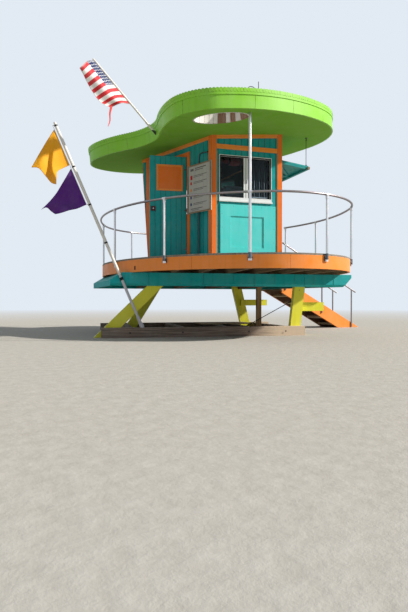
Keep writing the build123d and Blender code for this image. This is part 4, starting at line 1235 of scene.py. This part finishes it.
def dress_door(finish):
    """Boards, panel border, lock and screws on the leaf, which rests open."""
    hinge = Matrix.Translation((HINGE_X, HINGE_Y, 0)) @ Matrix.Rotation(DOOR_OPEN, 4, "Z")
    shut = hinge @ Matrix.Translation((-HINGE_X, -HINGE_Y, 0))
    border, plate, marks, boards = Shape(), Shape(), Shape(), Shape()

    def on_door(shape, low, wide, rise, height, out, thick, tone=0.3):
        middle = Vector((-1.10 - out - thick / 2, low + wide / 2, DECK_TOP + rise + height / 2))
        shape.board(shut @ Matrix.Translation(middle), (thick, wide, height), tone)

    low, wide, rise, tall, edge = -0.212, 0.562, 1.488, 0.553, 0.042
    on_door(border, low, edge, rise, tall, 0.0115, 0.007)
    on_door(border, low + wide - edge, edge, rise, tall, 0.0115, 0.007, 0.2)
    on_door(border, low + edge, wide - 2 * edge, rise, edge, 0.0115, 0.007, 0.25)
    on_door(border, low + edge, wide - 2 * edge, rise + tall - edge, edge, 0.0115, 0.007, 0.4)
    border.piece("door_panel_border", finish["orange level"], body="door", bevel=0.002, slot="orange_paint")
    on_door(plate, 0.408, 0.024, 1.088, 0.024, 0.0295, 0.004)
    plate.piece("lock_cylinder", finish["bright steel"], body="door", bevel=0.002, slot="brushed_steel")
    on_door(marks, 0.417, 0.006, 1.093, 0.014, 0.0334, 0.001)
    marks.piece("door_keyhole", finish["black plastic"], body="door", slot="dark_steel")
    spots = []
    face_out = (shut.to_3x3() @ Vector((-1, 0, 0))).normalized()
    for height in (0.25, 1.08, 1.95):
        for step in (0.02, 0.045):
            spots.append((shut @ Vector((-1.1062, HINGE_Y + step, DECK_TOP + height)), face_out))
    for y in (-0.19, 0.07, 0.33):
        for height in (1.508, 2.02):
            spots.append((shut @ Vector((-1.1186, y, DECK_TOP + height)), face_out))
    screws("door_screws", spots, finish["dull steel"], radius=0.0045, body="door")
    whole = solid_of("door_leaf")
    areas = {}
    for face in whole.faces:
        if abs(face.normal.z) < 0.1:
            key = tuple(round(v, 2) for v in face.normal)
            areas[key] = areas.get(key, 0) + face.calc_area()
    whole.free()
    broad = Vector(max(areas, key=areas.get)).normalized()
    for out in (broad, -broad):
        across = UP.cross(out).normalized()
        clad(boards, "door_leaf", out, across, pitch=0.11, gap=0.008, proud=0.004)
    boards.piece("door_boards", finish["teal"], body="door", bevel=0.0012, slot="teal_wall_paint")


# Roof
HOLE_X, HOLE_Y = -1.747, -2.005
ROOF_MIDDLE = Vector((-0.3, -0.3, 0))


def roof_rim_spots(rim, step, drop, back=0.0):
    """Even places along the edge strip, each with the direction that faces out from it."""
    spots = []
    for point, run in even_points(rim, step):
        out = run.cross(ROOF_UP).normalized()
        if out.dot(point - Vector((ROOF_MIDDLE.x, ROOF_MIDDLE.y, point.z))) < 0:
            out = -out
        spots.append((point - ROOF_UP * drop - out * back, out))
    return spots


def dress_roof(finish):
    """The fascia in lengths, sheets under and over the roof, battens, and the scalloped edge."""
    fascia, soffit, top, caps = Shape(), Shape(), Shape(), Shape()
    whole = solid_of("roof_fascia")
    joints = [-144.7 + 22.5 * k + (4 if k % 3 == 1 else 0) for k in range(16)]
    sectors(fascia, whole, ROOF_MIDDLE, joints + [joints[0] + 360], gap=0.004)
    whole.free()
    fascia.piece(
        "roof_edge_boards", finish["lime"], bevel=0.002, stands_for=["roof_fascia"], slot="lime_paint"
    )
    cut_boards(soffit, "roof_soffit", ROOF_ACROSS, pitch=1.22, gap=0.003)
    soffit.piece("soffit_sheets", finish["soffit"], stands_for=["roof_soffit"], slot="lime_paint")
    seams = cut_boards(top, "roof_top", ROOF_ACROSS, pitch=0.61, gap=0.003)
    top.piece("roof_sheets", finish["lime sheet"], stands_for=["roof_top"], slot="lime_paint")
    rim = rim_of("roof_edge_strip", ROOF_UP)
    for seam in seams[1:-1]:
        hits = []
        for a, b in zip(rim, rim[1:] + rim[:1]):
            if (a.y - seam) * (b.y - seam) < 0:
                hit = a.lerp(b, (seam - a.y) / (b.y - a.y))
                hits.append((hit - roof_point(0, 0, 0)).dot(ROOF_ALONG))
        hits.sort()
        for low, high in zip(hits[::2], hits[1::2]):
            low, high = low + 0.06, high - 0.06
            parts = [(low, high)]
            if -2.4 < seam < -1.6:
                parts = [(low, HOLE_X - 0.56), (HOLE_X + 0.56, high)]
            for start, end in parts:
                if end - start > 0.1:
                    middle = roof_point((start + end) / 2, seam, ROOF_THICKNESS + 0.006)
                    caps.board(placed(middle, ROOF_ALONG, ROOF_UP), (end - start, 0.045, 0.014))
    caps.piece("roof_battens", finish["lime sheet"], bevel=0.003, slot="lime_paint")
    sizes = {"Lap Radius": 0.037, "Lap Height": 0.008, "Lap Sides": 16}
    laps = roof_rim_spots(rim, step=0.062, drop=0.021, back=0.005)
    fittings("scalloped_edge", LAPS, laps, sizes, finish["lime"])
    spots = roof_rim_spots(rim, step=0.30, drop=0.055)
    screws("edge_strip_screws", spots, finish["lime"], radius=0.007)


def line_hole(finish):
    """Upright boards round the hole in the roof, white where the sun falls and rusty brown on the right:
    real rust, and painted sunlight and shade.
    """
    whole = solid_of("roof_hole_lining")
    white, stained_and_shaded = Shape(), Shape()
    count = 26
    centre = roof_point(HOLE_X, HOLE_Y, ROOF_THICKNESS / 2)
    for k in range(count):
        low, high = 360 * k / count, 360 * (k + 1) / count
        # White boards on the left and rusty ones on the right: real rust, and also painted sunlight and
        # shade on the two sides.
        on_right = not 52 <= (low + high) / 2 <= 318
        shape = stained_and_shaded if on_right and k % 4 != 1 else white
        sectors(shape, whole, centre, [low, high], gap=0.003)
    whole.free()
    lining = finish["white sunlit lining"]
    white.piece("hole_boards", lining, stands_for=["roof_hole_lining"], slot="weathered_timber")
    stained_and_shaded.piece("hole_boards_stained", finish["rusty shaded board"], slot="weathered_timber")


# The leaning pole runs in a plane along BASE_X
POLE_Y = -1.248
POLE_FOOT_X, POLE_FOOT_HEIGHT, POLE_LEAN = -1.80, 0.2, 0.4234
ROOF_POLE_Y = -0.35


def raise_poles(finish):
    """The skins of both flagpoles, the clips on the leaning one, and the fork at its foot."""
    skin, clips, fork = Shape(), Shape(), Shape()
    foot, head = Vector((-2.08, ROOF_POLE_Y, 4.20)), Vector((-3.39, ROOF_POLE_Y, 5.165))
    run = (head - foot).normalized()
    skin.tube([foot + run * 0.10, head - run * 0.01, head + run * 0.004], [0.0195, 0.0195, 0.012], 20)

    def at(height):
        return base_point(POLE_FOOT_X - POLE_LEAN * (height - POLE_FOOT_HEIGHT), POLE_Y, height)

    slant = (at(2.0) - at(1.0)).normalized()
    skin.tube([at(1.27), at(4.19), at(4.214)], [0.0305, 0.0305, 0.02], 20)
    for height in (4.15, 3.37, 2.64, 1.9):
        clips.tube([at(height) - slant * 0.014, at(height) + slant * 0.014], 0.0335, 20)
    clips.piece("pole_clips", finish["black plastic"], smooth=True, slot="dark_steel")
    skin.piece("pole_skins", finish["pole white"], smooth=True, slot="pole_metal")
    for side in (-1, 1):
        neck, knee = at(0.36) + BASE_X * side * 0.012, at(0.28) + BASE_X * side * 0.034
        tip = base_point(POLE_FOOT_X + side * 0.038, POLE_Y, POLE_FOOT_HEIGHT + 0.003)
        fork.tube([neck, knee, tip], [0.012, 0.012, 0.009], 12)
    fork.tube([at(0.335), at(0.42)], 0.0335, 20)
    fork.piece("pole_fork", finish["pole grey"], smooth=True, slot="pole_metal")


# Flags
def smooth_line(points, count):
    """Even points on a smooth line through the given ones."""
    points = [Vector(p) for p in points]
    if len(points) == 2:
        return [points[0].lerp(points[1], k / (count - 1)) for k in range(count)]
    full = [2 * points[0] - points[1]] + points + [2 * points[-1] - points[-2]]
    dense = []
    for k in range(1, len(full) - 2):
        a, b, c, d = full[k - 1 : k + 3]
        for n in range(24):
            t = n / 24
            part = 2 * b + (c - a) * t + (2 * a - 5 * b + 4 * c - d) * t**2 + (3 * b - a - 3 * c + d) * t**3
            dense.append(part / 2)
    dense.append(points[-1])
    reach = [0.0]
    for a, b in zip(dense, dense[1:]):
        reach.append(reach[-1] + (b - a).length)
    line, k = [], 0
    for n in range(count):
        want = reach[-1] * n / (count - 1)
        while k < len(dense) - 2 and reach[k + 1] < want:
            k += 1
        step = reach[k + 1] - reach[k]
        line.append(dense[k].lerp(dense[k + 1], (want - reach[k]) / step if step else 0))
    return line


def flag(cloth, node, top, bottom, tip, fold, finish):
    """A cloth between its upper and lower edges, from the hoist to a fly with a tip between its ends.

    The edges run from the hoist. fold(u, v) gives the shift of each point.
    """
    across, down = 44, 36
    left = smooth_line([bottom[0], top[0]], down + 1)
    right = smooth_line([bottom[-1], *tip, top[-1]], down + 1)
    above = smooth_line(top, across + 1)
    below = smooth_line(bottom, across + 1)
    bm = bmesh.new()
    unit = bm.loops.layers.uv.new("unit")
    flat = bm.loops.layers.uv.new("cloth")
    hem = bm.verts.layers.float.new("hem")
    grid = []
    for j in range(down + 1):
        v = j / down
        low, high = 1 - v, v
        row = []
        for i in range(across + 1):
            u = i / across
            near, far = 1 - u, u
            point = below[i] * low + above[i] * high + left[j] * near + right[j] * far
            corners = below[0] * near * low + below[-1] * far * low + above[0] * near * high
            point = point - (corners + above[-1] * far * high)
            row.append(bm.verts.new(point + fold(u, v)))
            row[-1][hem] = 1.0 if i in (0, across) or j in (0, down) else 0.0
        grid.append(row)
    for j in range(down):
        for i in range(across):
            corners = ((i, j), (i + 1, j), (i + 1, j + 1), (i, j + 1))
            face = bm.faces.new([grid[b][a] for a, b in corners])
            face.smooth = True
            for loop, (a, b) in zip(face.loops, corners):
                loop[unit].uv = (a / across, b / down)
                loop[flat].uv = (a / across * 0.8, b / down * 0.6)
    name = cloth.replace(" ", "_")
    piece = mesh_piece(name, bm, finish[cloth])
    thick = piece.modifiers.new("cloth thickness", "SOLIDIFY")
    thick.thickness = 0.002
    thick.offset = 0
    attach(piece, "tower")
    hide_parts(node)
    return piece


def hang_flags(finish):
    """Two flags on the halyard of the leaning pole, and a striped one with a torn ribbon over the roof."""

    def by_pole(*points):
        return [base_point(x, POLE_Y - out, z) for x, z, out in points]

    def over_roof(*points):
        return [Vector((x, ROOF_POLE_Y - out, z)) for x, z, out in points]

    def yellow_fold(u, v):
        """Two panels that turn outward, with one deep pleat from the top of the hoist to the tip."""
        across = u + v - 1
        drop = 1 / (1 + math.exp(-(across + 0.02) / 0.035))
        slope = across + 1 - 0.95 * drop
        return BASE_Y * -0.115 * slope * (1 - math.exp(-3.5 * u)) * (0.45 + 0.55 * (1 - v) + 0.4 * u)

    def purple_fold(u, v):
        fan = math.sin(10.0 * u + 5.0 * (1 - v)) * 0.022 * u
        billow = math.exp(-(((v - 0.1) / 0.2) ** 2) - (((u - 0.55) / 0.16) ** 2))
        return BASE_Y * (fan + 0.02 * math.sin(6 * v) * u - 0.075 * billow)

    def striped_fold(u, v):
        wave = math.sin(8.5 * u - 2.2 * v + 0.6) * 0.045 * u
        curl = math.exp(-(((u - 1) / 0.2) ** 2) - (((v - 1) / 0.3) ** 2)) * 0.08
        return Vector((0, wave - curl, 0))

    top = by_pole((-3.505, 4.08, 0), (-3.66, 3.80, 0.02), (-3.80, 3.52, 0.03), (-3.915, 3.285, 0.02))
    bottom = by_pole(
        (-3.217, 3.40, 0), (-3.335, 3.33, 0), (-3.44, 3.24, 0.02), (-3.45, 3.10, 0.05), (-3.46, 2.99, 0.05)
    )
    tip = by_pole((-3.56, 3.03, 0), (-3.64, 3.12, -0.02), (-3.78, 3.275, 0.02))
    yellow = flag("yellow cloth", "yellow_flag", top, bottom, tip, yellow_fold, finish)
    top = by_pole((-3.19, 3.34, 0), (-3.34, 3.06, 0.02), (-3.49, 2.80, 0.03), (-3.75, 2.50, 0.02))
    bottom = by_pole((-2.895, 2.64, 0), (-3.08, 2.55, 0.01), (-3.28, 2.48, 0.03), (-3.49, 2.43, 0.02))
    tip = by_pole((-3.57, 2.49, -0.01), (-3.65, 2.545, 0.01))
    purple = flag("purple cloth", "purple_flag", top, bottom, tip, purple_fold, finish)
    top = over_roof((-3.36, 5.145, 0), (-3.50, 5.09, 0.02), (-3.60, 4.99, 0.03), (-3.69, 4.885, 0))
    bottom = over_roof((-2.58, 4.552, 0), (-2.74, 4.52, 0.02), (-2.88, 4.46, 0.03), (-3.01, 4.375, 0))
    tip = over_roof((-3.24, 4.43, 0.02), (-3.40, 4.60, 0), (-3.52, 4.74, -0.02))
    striped = flag("striped cloth", "striped_flag", top, bottom, tip, striped_fold, finish)
    ribbon = Shape()
    turns = over_roof((-3.004, 4.40, 0), (-3.045, 4.25, 0.012), (-3.03, 4.13, -0.01), (-3.085, 4.0, 0.012))
    run = smooth_line(turns, 15)
    for k, (a, b) in enumerate(zip(run, run[1:])):
        size = ((b - a).length + 0.002, 0.046 - 0.0026 * k, 0.002)
        ribbon.board(placed((a + b) / 2, b - a, Vector((0, -1, 0.2))), size, 0.0)
    torn = ribbon.piece("torn_ribbon", finish["ribbon red"], slot="striped_cloth")


# Sign
def put_up_sign(finish):
    """A board of generic coloured squares and bars in a timber frame, and the conduit behind it."""
    face, low, foot, wide, tall = -1.212, -1.18, 2.565, 0.73, 1.0
    border, grey, conduit, brackets = Shape(), Shape(), Shape(), Shape()

    def mark(shape, start, width, drop, height, thick):
        """A flat mark, from the left edge and the top as shares of the board seen from behind it."""
        y = low + wide * (1 - start - width / 2)
        z = foot + tall * (1 - drop - height / 2)
        place = placed((face - thick / 2 + 0.0002, y, z), (0, 1, 0))
        shape.board(place, (wide * width, thick, tall * height), 0.2)

    for start, width, drop, height in (
        (0.0, 0.045, 0, 1),
        (0.955, 0.045, 0, 1),
        (0.045, 0.91, 0, 0.028),
        (0.045, 0.91, 0.972, 0.028),
    ):
        mark(border, start, width, drop, height, 0.014)
    squares = {"mark red": Shape(), "mark orange": Shape(), "mark blue": Shape()}
    for name, drop, height in (
        ("mark red", 0.215, 0.085),
        ("mark red", 0.345, 0.06),
        ("mark orange", 0.49, 0.055),
        ("mark blue", 0.645, 0.055),
        ("mark blue", 0.785, 0.055),
    ):
        mark(squares[name], 0.12, height * 1.05, drop, height, 0.0016)
        mark(grey, 0.25, 0.56, drop + 0.008, 0.013, 0.001)
        mark(grey, 0.25, 0.42, drop + 0.036, 0.011, 0.001)
    for start, width, drop, height in (
        (0.12, 0.14, 0.075, 0.05),
        (0.32, 0.46, 0.07, 0.022),
        (0.32, 0.34, 0.11, 0.016),
        (0.14, 0.5, 0.9, 0.016),
        (0.2, 0.3, 0.93, 0.012),
    ):
        mark(grey, start, width, drop, height, 0.001)
    border.piece("sign_frame", finish["sign frame"], bevel=0.002, slot="raw_timber")
    for name, shape in squares.items():
        shape.piece("sign_" + name.replace(" ", "_"), finish[name], slot="sign_paint")
    grey.piece("sign_bars", finish["mark grey"], slot="sign_paint")
    x, run_y = -1.121, -0.706
    bends = ((-0.98, 3.785), (-0.80, 3.80), (-0.745, 3.795), (-0.715, 3.765), (run_y, 3.70), (run_y, 1.60))
    conduit.tube([(x, y, z) for y, z in bends], 0.0125, 12)
    for height in (1.9, 2.45, 3.62):
        conduit.tube([(x, run_y, height), (x, run_y, height + 0.03)], 0.0165, 12)
    conduit.piece("wall_conduit", finish["dull steel"], smooth=True, slot="dark_steel")
    for height in (2.75, 3.4):
        brackets.board(placed((-1.151, -0.73, height), (1, 0, 0)), (0.098, 0.05, 0.05), 0.5)
    brackets.piece("sign_brackets", finish["sign post"], bevel=0.003, slot="teal_wall_paint")


# The finish of each CAD node, also of those that boards cover
NODE_FINISHES = {
    "skid": ["skids"],
    "sleeper": ["sleepers"],
    "leg": ["near_legs", "far_legs", "leg_stubs"],
    "raw": ["prop_post"],
    "plywood": ["plywood_sheet"],
    "joist": ["deck_joists"],
    "floor joist": ["floor_joists"],
    "deck": ["cabin_floor"],
    "plank": ["ramp_walkway", "ramp_ledger"],
    "orange level": ["ramp_stringers", "wall_trims"],
    "orange": ["corner_trims", "door_casing", "door_panel"],
    "teal shadow": CABIN_WALLS + ["door_leaf"],
    "teal": ["hatches"],
    "turquoise": ["lower_panels"],
    "white frame": ["window_frames"],
    "glass": ["window_glass"],
    "lime": ["roof_edge_strip"],
    # Posts and rails: a lighter and a darker copy of one steel, painted light and a painted dark reflection.
    "galvanised": ["rail_posts", "tall_post"],
    "rail steel dark reflection": ["handrail", "ramp_handrails"],
    "dark steel": ["tie_rod", "hatch_rods", "aerial"],
    "dull steel": ["door_hinges", "door_hinge_pins"],
    "lock red": ["door_lock"],
    "socket": ["flag_socket"],
    "pole white": ["roof_flagpole"],
    "pole grey": ["leaning_flagpole"],
    "black plastic": ["pole_band"],
    "line": ["flag_line"],
    "sign": ["sign_board"],
    "sign post": ["sign_post"],
}


def finish_nodes(finish):
    for name, finished in NODE_FINISHES.items():
        for node in finished:
            mesh = nodes[node].data
            mesh.materials.clear()
            mesh.materials.append(finish[name])


make_camera()
make_lights()
make_floor()
finishes = make_finishes()
finish_nodes(finishes)
for build in (
    dress_base,
    lay_deck,
    fit_rail,
    slat_ramp,
    clad_cabin,
    fit_windows,
    furnish,
    fit_hatches,
    dress_door,
    dress_roof,
    line_hole,
    raise_poles,
    put_up_sign,
    hang_flags,
):
    build(finishes)

bpy.context.view_layer.update()
bpy.context.scene.view_settings.view_transform = "Standard"
